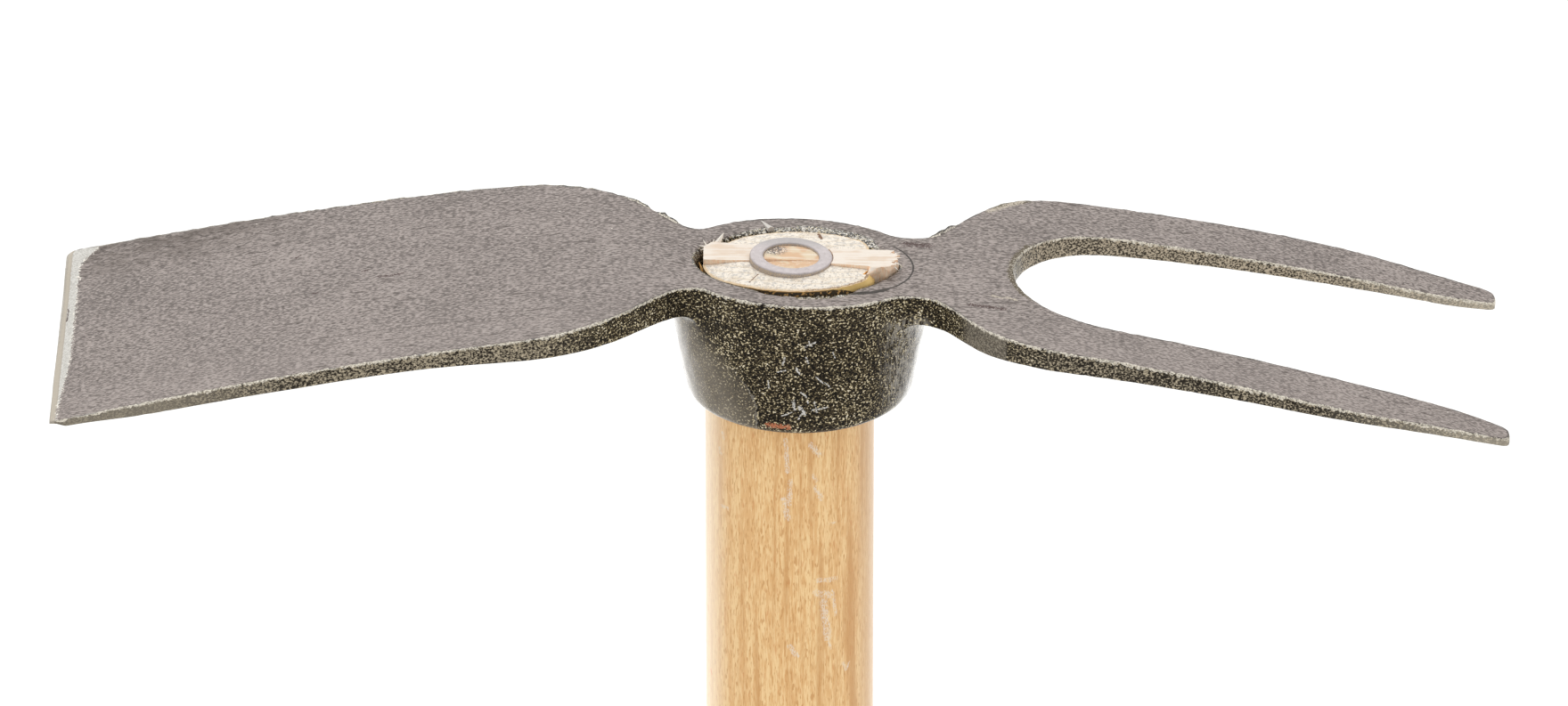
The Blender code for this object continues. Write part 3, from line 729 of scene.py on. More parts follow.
grain_tone = grain * 0.84 + broad_grain * 0.03 + patches * 0.13
# Painted sheen: the grain's light tone is lighter than the scale's own colour, for the bright paper the
# flats mirror.
flat_colour = grain_tone.band(0.39, 0.61).mix(GRAIN_DARK, GRAIN_LIGHT_AND_SHEEN)
on_blade_back = steel.zone(*BLADE_BACK)
back_share = on_blade_back * broad_grain.band(0.42, 0.60).between(0.68, 0.25)
flat_colour = back_share.mix(flat_colour, BACK_BROWN)
flat_colour = (steel.zone(FRONT_HALF) * 0.16).mix(flat_colour, GRAIN_LIGHT_AND_SHEEN)
dash_tone = dashes + on_blade_back.between(-0.01, 0.12)
flat_colour = (dash_tone.band(0.67, 0.73) * 0.85).mix(flat_colour, DASH)
hair_share = hairs.band(0.64, 0.71) * patches.band(0.42, 0.56) * 0.7
flat_colour = hair_share.mix(flat_colour, DASH)
dot_inputs = {"Vector": steel.stretched((1, 1, 1)), "Scale": 1 / SPECK_SPACING}
dot_gap = steel.add("ShaderNodeTexVoronoi", output="Distance", inputs=dot_inputs)
flat_colour = dot_gap.band(SPECK_SHARE, SPECK_SHARE / 2).mix(flat_colour, SPECK_AND_GLINT)
print("Grain made")

# %% [markdown]
# Shears leave the sides torn into fine crumbs. Close to the eye they are nearly black with brass
# crumbs and pale specks, which are partly painted glints. Towards both ends the sides were rubbed
# in use and turn olive, then almost smooth. One patch of the fork's front side was filed flat.
# These changes follow X and Y, so the finish mixes them in zones that fade in along both.

# %% Finish the forged steel: the trimmed sides
SIDE_DARK = (0.008, 0.006, 0.004)
SIDE_BROWN = (0.082, 0.061, 0.032)
SIDE_BRASS_AND_GLINT = (0.820, 0.700, 0.430)
FAR_DARK = (0.022, 0.017, 0.011)
FAR_PALE = (0.460, 0.395, 0.290)
SMOOTH_END = (0.280, 0.248, 0.198)
SLOT_PALE = (0.560, 0.475, 0.360)
TIP_PALE = (0.600, 0.540, 0.440)
FAR_FROM_EYE = (0.030, 0.052)
BLADE_END = ("x", -0.085, -0.115)
TINE_TIPS = ("x", 0.090, 0.128)
FORK_FRONT = (("x", 0.036, 0.046), ("y", -0.006, -0.012))
SLOT = (("y", 0.002, 0.010), ("x", 0.036, 0.044))
FILED_PATCH = (("x", 0.0300, 0.0325), ("x", 0.0388, 0.0383), ("y", -0.010, -0.014))

crumbs = steel.cloud(0.30, stretch=(1.4, 1, 1), detail=2.0, rough=0.6, seed=57)
clumps = steel.cloud(5.0, detail=2.0, seed=63)
crumb_tone = crumbs + clumps.between(-0.07, 0.07)
near_colour = crumb_tone.band(0.44, 0.55).mix(SIDE_DARK, SIDE_BROWN)
# Brass crumbs and the palest specks are partly painted glints of the lamp.
near_colour = crumb_tone.band(0.585, 0.635).mix(near_colour, SIDE_BRASS_AND_GLINT)
near_colour = crumb_tone.band(0.66, 0.70).mix(near_colour, SPECK_AND_GLINT)
far_tone = crumb_tone + steel.zone(*FORK_FRONT).between(0.0, -0.05)
far_colour = far_tone.band(0.42, 0.58).mix(FAR_DARK, FAR_PALE)
side_colour = (abs(steel.x).band(*FAR_FROM_EYE) * 0.9).mix(near_colour, far_colour)
side_colour = (steel.zone(BLADE_END) * 0.75).mix(side_colour, SMOOTH_END)
slot_share = steel.zone(*SLOT) * crumb_tone.band(0.46, 0.58).between(0.05, 0.80)
side_colour = slot_share.mix(side_colour, SLOT_PALE)
side_colour = (steel.zone(TINE_TIPS) * 0.55).mix(side_colour, TIP_PALE)
filed_share = steel.zone(*FILED_PATCH) * crumb_tone.band(0.42, 0.58).between(0.35, 0.95)
side_colour = filed_share.mix(side_colour, SMOOTH_END)
print("Crumbs made")

# %% [markdown]
# The marks now put the finishes in their places. A straight border between the flats and the sides
# would look drawn on, so noise frays it before it is sharpened.

# %% Finish the forged steel: flats, sides and underside together
UNDER_DARK = (0.060, 0.052, 0.045)
UNDER_PALE = (0.150, 0.134, 0.122)

under_colour = grain_tone.band(0.35, 0.65).mix(UNDER_DARK, UNDER_PALE)
top_share = (steel.mark("top") + fray.between(-0.25, 0.25)).band(0.40, 0.62)
colour = steel.mark("under").mix(side_colour, under_colour)
colour = top_share.mix(colour, flat_colour)
print("Flats, sides and underside joined")

# %% [markdown]
# The varnish ran down and pooled on the left of the collar. There it fills the crumbs, looks like
# grey glass and ends in a raised rim that slants from the blade to the front of the foot. Its pale
# grey is partly painted reflection of the bleached paper, and the pale line along its rim is a
# painted highlight. It could be a second piece laid over the collar, but a film has no thickness
# to speak of, so it is drawn in the finish: a border that moves along X with the height.

# %% Finish the forged steel: the pooled varnish
FILM_GREY_AND_REFLECTION = (0.235, 0.200, 0.150)
FILM_RIM_HIGHLIGHT = (0.420, 0.390, 0.350)
FILM_BORDER = (-0.0167, -0.0060)
FILM_SLANT = ("z", HEAD_TOP - 0.004, HEAD_TOP - 0.0205)
FILM_TOP = ("z", HEAD_TOP - 0.004, HEAD_TOP - 0.007)
FILM_LEFT = ("x", -0.030, -0.026)
LOW_DOWN = ("z", HEAD_TOP - 0.013, HEAD_TOP - 0.017)
FILM_FRAY = 0.9 * MM
FILM_STARTS = (-2.5 * MM, -0.5 * MM)
FILM_FULL = (3.0 * MM, 0.9 * MM)
FILM_DEEPENS = 6.0 * MM
FILM_DEPTHS = (0.30, 0.62)

low_down = steel.zone(LOW_DOWN)
film_border = steel.zone(FILM_SLANT).between(*FILM_BORDER)
film_gap = film_border - steel.x + fray.between(-FILM_FRAY, FILM_FRAY)
film_start = low_down.between(*FILM_STARTS)
film = (film_gap - film_start) / (low_down.between(*FILM_FULL) - film_start)
film = film.band(0.0, 1.0) * steel.zone(FILM_TOP, FILM_LEFT)
film_depth = film_gap.band(0.0, FILM_DEEPENS).between(*FILM_DEPTHS) + clumps.between(-0.25, 0.25)
# The pool's pale grey is partly painted reflection, and its pale rim a painted highlight.
colour = (film * film_depth).mix(colour, FILM_GREY_AND_REFLECTION)
film_rim_highlight = abs(film_gap).band(0.22 * MM, 0.08 * MM) * low_down
colour = (film_rim_highlight * 0.40).mix(colour, FILM_RIM_HIGHLIGHT)
print("Film made")

# %% [markdown]
# Round the right of the collar the varnish mirrors the bleached paper through the crumbs, which
# shows as short upright streaks. The crumbs are too small for a mirror of their own, so the
# streaks are drawn: noise that is drawn out along Z, in a zone.

# %% Finish the forged steel: the sheen on the collar
SHEEN_GREY = (0.480, 0.445, 0.390)
SHEEN = (("x", 0.0150, 0.0195), ("x", 0.026, 0.024), FILM_TOP)

runs = steel.cloud(0.42, stretch=(1, 1, 4), detail=2.0, rough=0.7, seed=101)
sheen_share = steel.zone(*SHEEN) * runs.band(0.42, 0.58) * 0.60
colour = sheen_share.mix(colour, SHEEN_GREY)
print("Sheen made")

# %% [markdown]
# Use and soil rub the scale off the arrises first, in a broken bright line. That line is partly a
# painted highlight, shown only where the arris faces the front, and a dark line beside it on the
# flats is painted shade. Pointiness could find the arrises, but it depends on how finely the mesh
# is cut, so the line follows the wear mark, broken up by noise of two sizes.

# %% Finish the forged steel: bare arrises
BARE_EDGE_AND_GLINT = (0.88, 0.82, 0.70)
BEIGE_STEEL = (0.440, 0.395, 0.325)
FORK_ROOT = (("x", 0.0360, 0.0375), ("x", 0.0450, 0.0425), ("y", -0.013, -0.009))

wear = steel.mark("wear")
on_top = steel.mark("top")
# Painted shade: a dark line on the flats beside the arris.
shade_line = wear.band(0.60, 0.78) * on_top * broad_grain.band(0.40, 0.55) * 0.7
colour = shade_line.mix(colour, SIDE_DARK)
root_share = steel.zone(*FORK_ROOT) * (wear + fray).band(0.75, 0.95) * on_top
colour = root_share.mix(colour, crumbly.band(0.54, 0.62).mix(SIDE_BROWN, BEIGE_STEEL))
# Painted highlight: worn bare steel, bright only where the arris faces the front.
worn = wear + fray.between(-0.55, 0.45) + clumps.between(-0.14, 0.24)
bare_and_glint_share = worn.band(0.74, 0.86) * steel.facing(FRONT).band(-0.1, 0.35)
bare_and_glint_share = bare_and_glint_share * crumbly.band(0.42, 0.54).between(0.25, 1.0)
colour = bare_and_glint_share.mix(colour, BARE_EDGE_AND_GLINT)
print("Arrises made")

# %% [markdown]
# The cutting edge was ground on a wheel: a pale strip with a beige bevel along the very edge. Its
# border with the scale is ragged and carries bright teeth. The marks give the distance from the
# edge and from the strip's border, so no strip has to be modelled.

# %% Finish the forged steel: the ground strip
GROUND_WHITE = (0.610, 0.600, 0.565)
GROUND_SHADE = (0.440, 0.425, 0.390)
GROUND_LINE = (0.330, 0.285, 0.235)
BEVEL_WIDTH = 1.05
BEVEL_FADE = 0.15

edge_gap = steel.mark("edge_gap") + fray.between(-0.12, 0.12)
ragged_ground = steel.mark("ground") + fray.between(-0.6, 0.6)
ground_share = ragged_ground.band(0.0, 0.12) * on_top.at_least(edge_gap.band(1.5, 0.8))
strip_colour = crumbs.band(0.40, 0.58).mix(GROUND_SHADE, GROUND_WHITE)
ground_colour = edge_gap.band(BEVEL_WIDTH, BEVEL_WIDTH + BEVEL_FADE).mix(BEIGE_STEEL, strip_colour)
line_share = abs(edge_gap - BEVEL_WIDTH).band(0.14, 0.05) * 0.5
ground_colour = line_share.mix(ground_colour, GROUND_LINE)
colour = ground_share.mix(colour, ground_colour)
sparks = steel.cloud(0.46, detail=2.0, rough=0.7, seed=91)
tooth_share = abs(ragged_ground).band(0.45, 0.15) * (sparks.band(0.52, 0.60) * on_top)
colour = tooth_share.mix(colour, SPECK_AND_GLINT)
print("Ground strip made")

# %% [markdown]
# A pair of compasses scratched an arc into the flat beside the eye, when the eye was marked out.
# A distance from the arc's middle, kept near its radius and within a range of directions, draws
# it. It is too fine to model: a groove of a fifth of a millimetre would need faces half that size.

# %% Finish the forged steel: the scribed arc
SCRIBE_MIDDLE = (0.0107, 0.0, 0.0)
SCRIBE_RADIUS = 0.0115
SCRIBE_WIDTHS = (0.18 * MM, 0.62 * MM)
SCRIBE_WIDENS = (-0.85, -1.05)
SCRIBE_BEGINS = (-1.68, -1.55)
SCRIBE_ENDS = (0.92, 0.75)
SCRIBE_GROOVE = (0.028, 0.022, 0.017)

spoke = steel.level_way(SCRIBE_MIDDLE)
arc_angle = steel.math("ARCTAN2", steel.y, steel.parts(spoke)[0])
off_arc = abs(steel.vector("LENGTH", spoke) - SCRIBE_RADIUS)
arc_half = arc_angle.band(*SCRIBE_WIDENS).between(*SCRIBE_WIDTHS) * fray.between(0.4, 1.6)
on_arc = (off_arc / arc_half).band(1.2, 0.6)
on_arc = on_arc * (arc_angle.band(*SCRIBE_BEGINS) * arc_angle.band(*SCRIBE_ENDS)) * on_top
colour = on_arc.mix(colour, SCRIBE_GROOVE)
print("Arc made")

# %% [markdown]
# The torn lip of the eye carries pale specks like the teeth of the ground strip, painted glints
# where it sparkles. Short scratches on the collar, a red smear at its foot and hairlines along the
# blade each lie between two pixels of the photograph. A texture painted by hand could hold them, but
# a stroke in the finish stays sharp however close the camera comes.

# %% Finish the forged steel: scratches and smears
CHALK = (0.70, 0.68, 0.64)
SMEAR_RED = (0.50, 0.18, 0.09)
SCRATCH_BROWN = (0.060, 0.030, 0.025)
SHOULDER_CREAM = (0.460, 0.405, 0.325)
HAIRLINE = (0.130, 0.108, 0.096)
COLLAR_SCRATCHES = (
    ((890, 449), (892, 460), 0.20),
    ((897, 457), (903, 465), 0.24),
    ((878, 467), (889, 463), 0.12),
    ((905, 446), (907, 453), 0.12),
    ((926, 430), (933, 436), 0.10),
    ((880, 402), (879, 410), 0.16),
    ((862, 428), (863, 436), 0.12),
    ((908, 384), (911, 389), 0.12),
    ((912, 461), (930, 457), 0.12),
    ((899, 441), (905, 445), 0.14),
    ((894, 414), (897, 420), 0.16),
    ((905, 402), (907, 408), 0.14),
    ((903, 390), (915, 385), 0.14),
    ((896, 470), (903, 462), 0.16),
    ((914, 452), (917, 463), 0.14),
    ((872, 418), (882, 416), 0.10),
    ((935, 396), (937, 402), 0.10),
    ((916, 423), (924, 431), 0.12),
)
TINTED_STROKES = (
    ((861, 477), (870, 478), 0.34, SMEAR_RED),
    ((873, 479), (885, 480), 0.40, SMEAR_RED),
    ((425, 311), (452, 307), 0.30, SCRATCH_BROWN),
    ((1114, 332), (1126, 335), 0.26, SHOULDER_CREAM),
    ((1129, 334), (1140, 337), 0.30, SHOULDER_CREAM),
    ((1110, 237), (1146, 227), 0.60, SHOULDER_CREAM),
    ((1018, 274), (1040, 276), 0.90, SCRATCH_BROWN),
    ((1088, 342), (1126, 347), 0.45, SCRATCH_BROWN),
    ((77, 347), (75, 361), 0.14, SCRATCH_BROWN),
    ((262, 339), (354, 329), 0.15, HAIRLINE),
    ((381, 378), (433, 370), 0.16, HAIRLINE),
    ((433, 370), (499, 363), 0.14, HAIRLINE),
    ((499, 363), (587, 354), 0.12, HAIRLINE),
    ((407, 305), (413, 303), 0.24, SCRATCH_BROWN),
    ((351, 330), (357, 329), 0.20, SCRATCH_BROWN),
    ((332, 290), (337, 287), 0.20, SCRATCH_BROWN),
)

# Painted glints: pale specks on the torn lip of the eye.
colour = (steel.mark("lip") * sparks.band(0.53, 0.59)).mix(colour, SPECK_AND_GLINT)
torn_edge = crumbly.band(0.36, 0.62)
all_strokes = [(*stroke, CHALK) for stroke in COLLAR_SCRATCHES] + list(TINTED_STROKES)
for start, end, width, tint in all_strokes:
    colour = seen_stroke(steel, head_tree, start, end, width, torn_edge).mix(colour, tint)
print("Strokes made:", len(all_strokes))

# %% [markdown]
# The varnish shines on the sides and has dulled on the flats and on the front, where hands and
# soil rub it. So the coat grows where a face turns away from the front. There it mirrors the
# bleached paper, which is what draws the pale outlines of the collar.

# %% Wire the forged steel
COAT_ROUGHNESS = 0.16
BARK_RELIEF = 0.13 * MM
LEVEL = (0.5, 0.5, 0.5)
PAST_COLLAR = ("x", 0.028, 0.036)


def dressed(name, bm, node, slot, *materials, sharp_angle=None):
    """A finished piece made from a bmesh, which stands for a CAD node and rides on the one body."""
    piece = object_from(name, bm)
    for material in materials:
        piece.data.materials.append(material)
    piece.data.shade_smooth()
    if sharp_angle is not None:
        piece.data.set_sharp_from_angle(angle=sharp_angle)
    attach(piece, "root")
    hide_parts(node)
    return piece


coat = steel.facing(FRONT).band(0.78, 0.35) * top_share.between(1.0, 0.0)
coat = coat * steel.zone(PAST_COLLAR).between(0.85, 0.35)
coat = coat.at_least(film * (film_depth * 0.85))
height = top_share.mix(crumbs.band(0.3, 0.7), grain_tone)
height = (film * 0.8).mix(height, LEVEL)
forged_steel = steel.done(
    height,
    BARK_RELIEF,
    Base_Color=colour,
    Roughness=top_share.between(0.40, 0.46),
    Coat_Weight=coat,
    Coat_Roughness=COAT_ROUGHNESS,
    Specular_IOR_Level=top_share.between(0.1, 0.2),
)
dressed("hoe_head_forging", head_bm, "hoe_head", "forged_steel", forged_steel)
print("Forged steel has", len(forged_steel.node_tree.nodes), "nodes")

# %% [markdown]
# The handle is one turned stick of a pale hardwood. Below the collar it is round. Inside the head
# its end is worked to the eye's outline, and it stops a little short at the fork, where its front
# half ends in a rounded corner. Lofting could join a circle to that outline, but here every ring
# of corners is worked out for its own height, from the butt to the end face.

# %% Outline of the handle inside the head
COLLAR_HEIGHT = 0.0249
HANDLE_RADIUS = 0.01525
FIT_GAP = 0.0003
LEFT_GAP = 0.0012
FORK_END_X = 0.0148
FORK_END_ROUND = 0.0026
FORK_END_SLOPE = 0.0011
FORK_END_SLOPES_TO = 1.6 * MM


def between_numbers(low, high, share):
    return low + (high - low) * share


def hole_point(angle, depth, inset):
    """A point inside the hole's wall by an inset, at a depth below the rim."""
    across = math.sin(angle)
    along = math.cos(angle)
    half_length = EYE_HALF_LENGTH - inset
    half_width = EYE_HALF_WIDTH - inset
    if along < 0:
        reach = half_length * half_width / math.hypot(half_width * along, half_length * across)
    else:
        radius, sunk = fork_arc(inset)
        reach = math.sqrt(radius**2 - (sunk * along) ** 2) - sunk * abs(across)
    eye = Vector((reach * along, reach * across)) + EYE_MIDDLE
    bore = Vector((along, across)) * (HANDLE_RADIUS + FIT_GAP - inset)
    return eye.lerp(bore, ramp(depth, 0, COLLAR_HEIGHT))


def tenon_point(angle, depth):
    """A point of the handle's side inside the head. It stops short at both ends of the eye."""
    point = hole_point(angle, depth, FIT_GAP)
    shallow = 1 - ramp(depth, 0, COLLAR_HEIGHT)
    if point.x < 0:
        point.x *= 1 - shallow * LEFT_GAP / EYE_HALF_LENGTH
    straight_to = FORK_END_X - FORK_END_ROUND + FORK_END_SLOPE * ramp(depth, 0, FORK_END_SLOPES_TO)
    excess = point.x - straight_to
    if excess > 0:
        held = straight_to + FORK_END_ROUND * (1 - math.exp(-excess / FORK_END_ROUND))
        point.x = between_numbers(point.x, held, shallow)
    return point


print("The handle ends at X", round(tenon_point(0.0, 0.0).x / MM, 1), "mm")

# %% Height of the end face
END_MIDDLE_RISE = 0.0008
END_RIM_LOSS = 0.0005
END_LEFT_LOSS = 0.0005
END_FOLLOWS_TO = 4 * MM


def end_height(x, share):
    """Height of the end face, a little domed. Share is 0 in its middle and 1 on its outline."""
    left_loss = END_LEFT_LOSS * ramp(x, -0.008, -0.015)
    return HEAD_TOP + END_MIDDLE_RISE - END_RIM_LOSS * share**2 - left_loss


def tenon_height(point, depth):
    """Height of a ring's corner. Shallow rings follow the end face and deep ones the collar."""
    level = 1 - depth / COLLAR_HEIGHT
    flat = HEAD_TOP - depth - HEAD_TILT * (point.x - RIM_MIDDLE.x) * level
    return between_numbers(end_height(point.x, 1) - depth, flat, ramp(depth, 0, END_FOLLOWS_TO))


print("End face at", round(end_height(0, 0), 4), "m")

# %% Turn the handle and close its end
BUTT_RADIUS = 0.0145
BUTT_ROUND = 0.004
BUTT_STEPS = 6
HANDLE_COLUMNS = 144
SHAFT_SPACING = 0.012
END_RINGS = 36
TENON_DEPTHS = (24.9, 22, 19, 16, 13, 10, 8, 6, 5, 4, 3.2, 2.5, 1.8, 1.2, 0.7, 0.3, 0.0)

angles = [2 * math.pi * column / HANDLE_COLUMNS for column in range(HANDLE_COLUMNS)]
collar_foot = HEAD_TOP - COLLAR_HEIGHT


def round_ring(radius, height):
    return [Vector((radius * math.cos(angle), radius * math.sin(angle), height)) for angle in angles]


def tenon_ring(depth):
    points = [tenon_point(angle, depth) for angle in angles]
    return [Vector((point.x, point.y, tenon_height(point, depth))) for point in points]


def end_ring(outline, share):
    points = [(corner.x * share, corner.y * share) for corner in outline]
    return [Vector((x, y, end_height(x, share))) for x, y in points]


handle_rings = []
for step in range(BUTT_STEPS + 1):
    turn = math.pi / 2 * step / BUTT_STEPS
    radius = BUTT_RADIUS - BUTT_ROUND * (1 - math.sin(turn))
    handle_rings.append(round_ring(radius, BUTT_ROUND * (1 - math.cos(turn))))
shaft_steps = round((collar_foot - BUTT_ROUND) / SHAFT_SPACING)
for step in range(1, shaft_steps):
    share = step / shaft_steps
    radius = between_numbers(BUTT_RADIUS, HANDLE_RADIUS, share)
    handle_rings.append(round_ring(radius, between_numbers(BUTT_ROUND, collar_foot, share)))
handle_rings += [tenon_ring(depth * MM) for depth in TENON_DEPTHS]
end_outline = handle_rings[-1]
handle_rings += [end_ring(end_outline, 1 - step / END_RINGS) for step in range(1, END_RINGS)]

handle_bm = bmesh.new()
column_layer = handle_bm.verts.layers.int.new("column")
circle = bmesh.ops.create_circle(handle_bm, segments=HANDLE_COLUMNS, radius=1, cap_ends=False)
for column, vert in enumerate(circle["verts"]):
    vert[column_layer] = column
    vert.co = handle_rings[0][column]
edges = list(handle_bm.edges)
for ring in handle_rings[1:]:
    new = bmesh.ops.extrude_edge_only(handle_bm, edges=edges)["geom"]
    for item in new:
        if isinstance(item, bmesh.types.BMVert):
            item.co = ring[item[column_layer]]
    edges = [item for item in new if isinstance(item, bmesh.types.BMEdge) and item.is_boundary]
bmesh.ops.holes_fill(handle_bm, edges=handle_bm.edges, sides=HANDLE_COLUMNS)
bmesh.ops.recalc_face_normals(handle_bm, faces=handle_bm.faces)
print("Handle:", len(handle_rings), "rings of", HANDLE_COLUMNS, "corners")

# %% [markdown]
# The wooden wedge was driven into a saw cut along the head, and the ring wedge over both, so the
# ring parts the wooden wedge into three bars. A saw leaves its left end square. At the fork the
# fibres broke off ragged. Each bar could be cut from one block, but a cube of small faces whose
# corners are moved into place lets each bar have its own width, height and ends.

# %% Sides, ends and tops of the three bars
WEDGE_TOP = HEAD_TOP + 0.0014
RING_MIDDLE = Vector((0.0003, 0.0))
RING_OUTER = 0.0075
RING_INNER = 0.0050
RING_REST = 0.00005
LEFT_END_X = -0.0155
WALL_GAP = 0.0002
LEFT_REACH = -0.0156
LEFT_FRONT = (-0.0012, -0.0006)
LEFT_BACK = (0.0040, 0.0069)
INNER_FACES = (-0.0009, 0.0048)
RIGHT_REACH = 0.0176
RIGHT_FRONT = (-0.0014, -0.0040)
RIGHT_BACK = (0.0040, 0.0029)
LEFT_TOP = WEDGE_TOP - 0.0005
INNER_TOP = HEAD_TOP + 0.0010
RIGHT_TOP = WEDGE_TOP - 0.0003
TORN_SLOPE = 1.5
TORN_DEPTH = 1.6 * MM
TORN_FADE = 1.2 * MM
OVERHANG = 0.0007
OVERHANG_DEPTH = (0.0022, 0.0010)
OVERHANG_SPAN = (0, 0.003)
BORE_BEGINS = 0.0015
SAW_MARKS = 0.00012


def torn(place, size, seed):
    """Noise from -1 to 1 in fine upright fibres."""
    return noise.noise(Vector((place.x / size, place.y / size, place.z / (9 * size) + seed)))


def left_sides(x, depth):
    """The wedge's front and back faces left of the ring, as distances along Y."""
    share = x / LEFT_REACH
    return between_numbers(*LEFT_FRONT, share), between_numbers(*LEFT_BACK, share)


def inner_sides(x, depth):
    return INNER_FACES


def right_sides(x, depth):
    """The same, right of the ring. Past the handle's end the torn front face slopes out to the steel."""
    share = x / RIGHT_REACH
    radius, sunk = fork_arc()
    wall = math.sqrt(max(0.0, radius**2 - (x - EYE_MIDDLE.x) ** 2)) - sunk
    slope = TORN_SLOPE * min(depth, TORN_DEPTH) * ramp(x, FORK_END_X, FORK_END_X + TORN_FADE)
    front = between_numbers(*RIGHT_FRONT, share)
    front = min(front, max(front - slope, FIT_GAP - wall))
    return front, between_numbers(*RIGHT_BACK, share)


def ring_edge(radius, side):
    """An end that follows the ring's circle."""
    def end(y, depth):
        return RING_MIDDLE.x + side * math.sqrt(max(0.0, radius**2 - y**2))
    return end


def saw_cut_end(y, depth):
    """The square left end, held inside the hole's wall at its back corner."""
    wall = EYE_MIDDLE.x - EYE_HALF_LENGTH * math.sqrt(1 - (y / EYE_HALF_WIDTH) ** 2) + WALL_GAP
    return max(LEFT_END_X, wall) + SAW_MARKS * torn(Vector((0, y, depth)), 0.0006, 2.0)


def eye_end(y, depth):
    """An end that follows the hole's wall towards the fork, clear of it by the fit."""
    radius, sunk = fork_arc()
    tip = EYE_MIDDLE.x + math.sqrt(radius**2 - (abs(y) + sunk) ** 2) - WALL_GAP
    bore = math.sqrt(HANDLE_RADIUS**2 - y**2)
    overhang = OVERHANG * ramp(depth, *OVERHANG_DEPTH) * ramp(-y, *OVERHANG_SPAN)
    return between_numbers(tip, bore, ramp(depth, BORE_BEGINS, BORE_BEGINS + COLLAR_HEIGHT)) + overhang


def left_top(x):
    return LEFT_TOP


def inner_top(x):
    return INNER_TOP - HEAD_TILT * x


def right_top(x):
    return RIGHT_TOP


print("The torn end reaches X", round(eye_end(0.0, 0.0) / MM, 1), "mm")

# %% Shape the three bars of the wooden wedge
WEDGE_TOE = 1.1803
WEDGE_TAPER = 0.25
BAR_CUTS = 22
RAGGED_CUTS = 44
FRINGE = 0.0011
FRINGE_LOSS = 0.0002


def make_bar(left_end, right_end, sides, top, open_end, cuts):
    """One bar. The ends are functions that give X for a Y and a depth. An open end is -1 or 1."""
    cube = bmesh.ops.create_cube(wedge_bm, size=1)
    new_edges = {edge for vert in cube["verts"] for edge in vert.link_edges}
    bmesh.ops.subdivide_edges(wedge_bm, edges=list(new_edges), cuts=cuts, use_grid_fill=True)
    for vert in [vert for vert in wedge_bm.verts if not vert[done_layer]]:
        along, across, up = (value + 0.5 for value in vert.co)
        up = 1 - (1 - up) ** 2
        middle_y = between_numbers(*sides(0, 0), across)
        x = between_numbers(left_end(middle_y, 0), right_end(middle_y, 0), along)
        z = between_numbers(WEDGE_TOE, top(x), up)
        depth = max(0.0, WEDGE_TOP - z)
        front, back = sides(x, depth)
        thinner = WEDGE_TAPER / 2 * depth
        y = between_numbers(front + thinner, back - thinner, across)
        x = between_numbers(left_end(y, depth), right_end(y, depth), along)
        vert.co = Vector((x, y, z))
        vert[done_layer] = 1
        vert[ragged_layer] = ramp(along, 0.9, 1.0) if open_end > 0 else 0.0
        vert[open_layer] = open_end * float(along > 0.99 if open_end > 0 else along < 0.01)


wedge_bm = bmesh.new()
done_layer = wedge_bm.verts.layers.int.new("done")
ragged_layer = wedge_bm.verts.layers.float.new("ragged")
open_layer = wedge_bm.verts.layers.float.new("open_end")
outer_edge = RING_OUTER + RING_REST
inner_edge = RING_INNER - RING_REST
make_bar(saw_cut_end, ring_edge(outer_edge, -1), left_sides, left_top, -1, BAR_CUTS)
make_bar(ring_edge(inner_edge, -1), ring_edge(inner_edge, 1), inner_sides, inner_top, 0, BAR_CUTS)
make_bar(ring_edge(outer_edge, 1), eye_end, right_sides, right_top, 1, RAGGED_CUTS)
bmesh.ops.recalc_face_normals(wedge_bm, faces=wedge_bm.faces)
kerf_bm = wedge_bm.copy()
for vert in wedge_bm.verts:
    place = vert.co.copy()
    high = ramp(place.z, WEDGE_TOP - 0.0018, WEDGE_TOP - 0.0005)
    ragged = vert[ragged_layer]
    vert.co.x += ragged * (FRINGE * torn(place, 0.00055, 3.0) - FRINGE_LOSS) * high
    vert.co.z += (0.00005 + 0.0001 * ragged) * lumps(place, 0.7 * MM, 14.0) * high
    vert.co.y += 0.00004 * lumps(place, 1.1 * MM, 15.0)
print("Wedge:", len(wedge_bm.faces), "faces in three bars")

# %% [markdown]
# The ring wedge is a short tapered steel tube. It was cut from tube and tumbled, so both top
# edges are a little round. Bevelling a tube could do that too, but its section is drawn once and
# spun about an upright axis, because the same section, a little fatter, is then spun for the
# groove that the ring presses into the handle.

# %% Spin the ring and its groove
RING_TOP = HEAD_TOP + 0.0015
RING_FOOT = 1.1861
RING_SHOULDER = 1.1958
RING_TOE_HALF = 0.0004
RING_EDGE_ROUND = 0.0004
RING_SECTION_STEPS = 5
RING_COLUMNS = 160
CUT_CLEARANCE = 0.00005
CUT_RISE = 0.003


def ring_section(grow, rise):
    """The ring's section as points of radius and height, grown all round and raised at the top."""
    outer = RING_OUTER + grow
    inner = RING_INNER - grow
    toe = (outer + inner) / 2
    toe_half = RING_TOE_HALF + grow
    points = [(toe - toe_half, RING_FOOT - grow), (toe + toe_half, RING_FOOT - grow), (outer, RING_SHOULDER)]
    for side, edge in ((1, outer), (-1, inner)):
        for step in range(RING_SECTION_STEPS + 1):
            turn = math.pi / 2 * step / RING_SECTION_STEPS
            turn = turn if side > 0 else math.pi / 2 - turn
            radius = edge - side * RING_EDGE_ROUND * (1 - math.cos(turn))
            points.append((radius, RING_TOP + rise - RING_EDGE_ROUND * (1 - math.sin(turn))))
    points.append((inner, RING_SHOULDER))
    return points


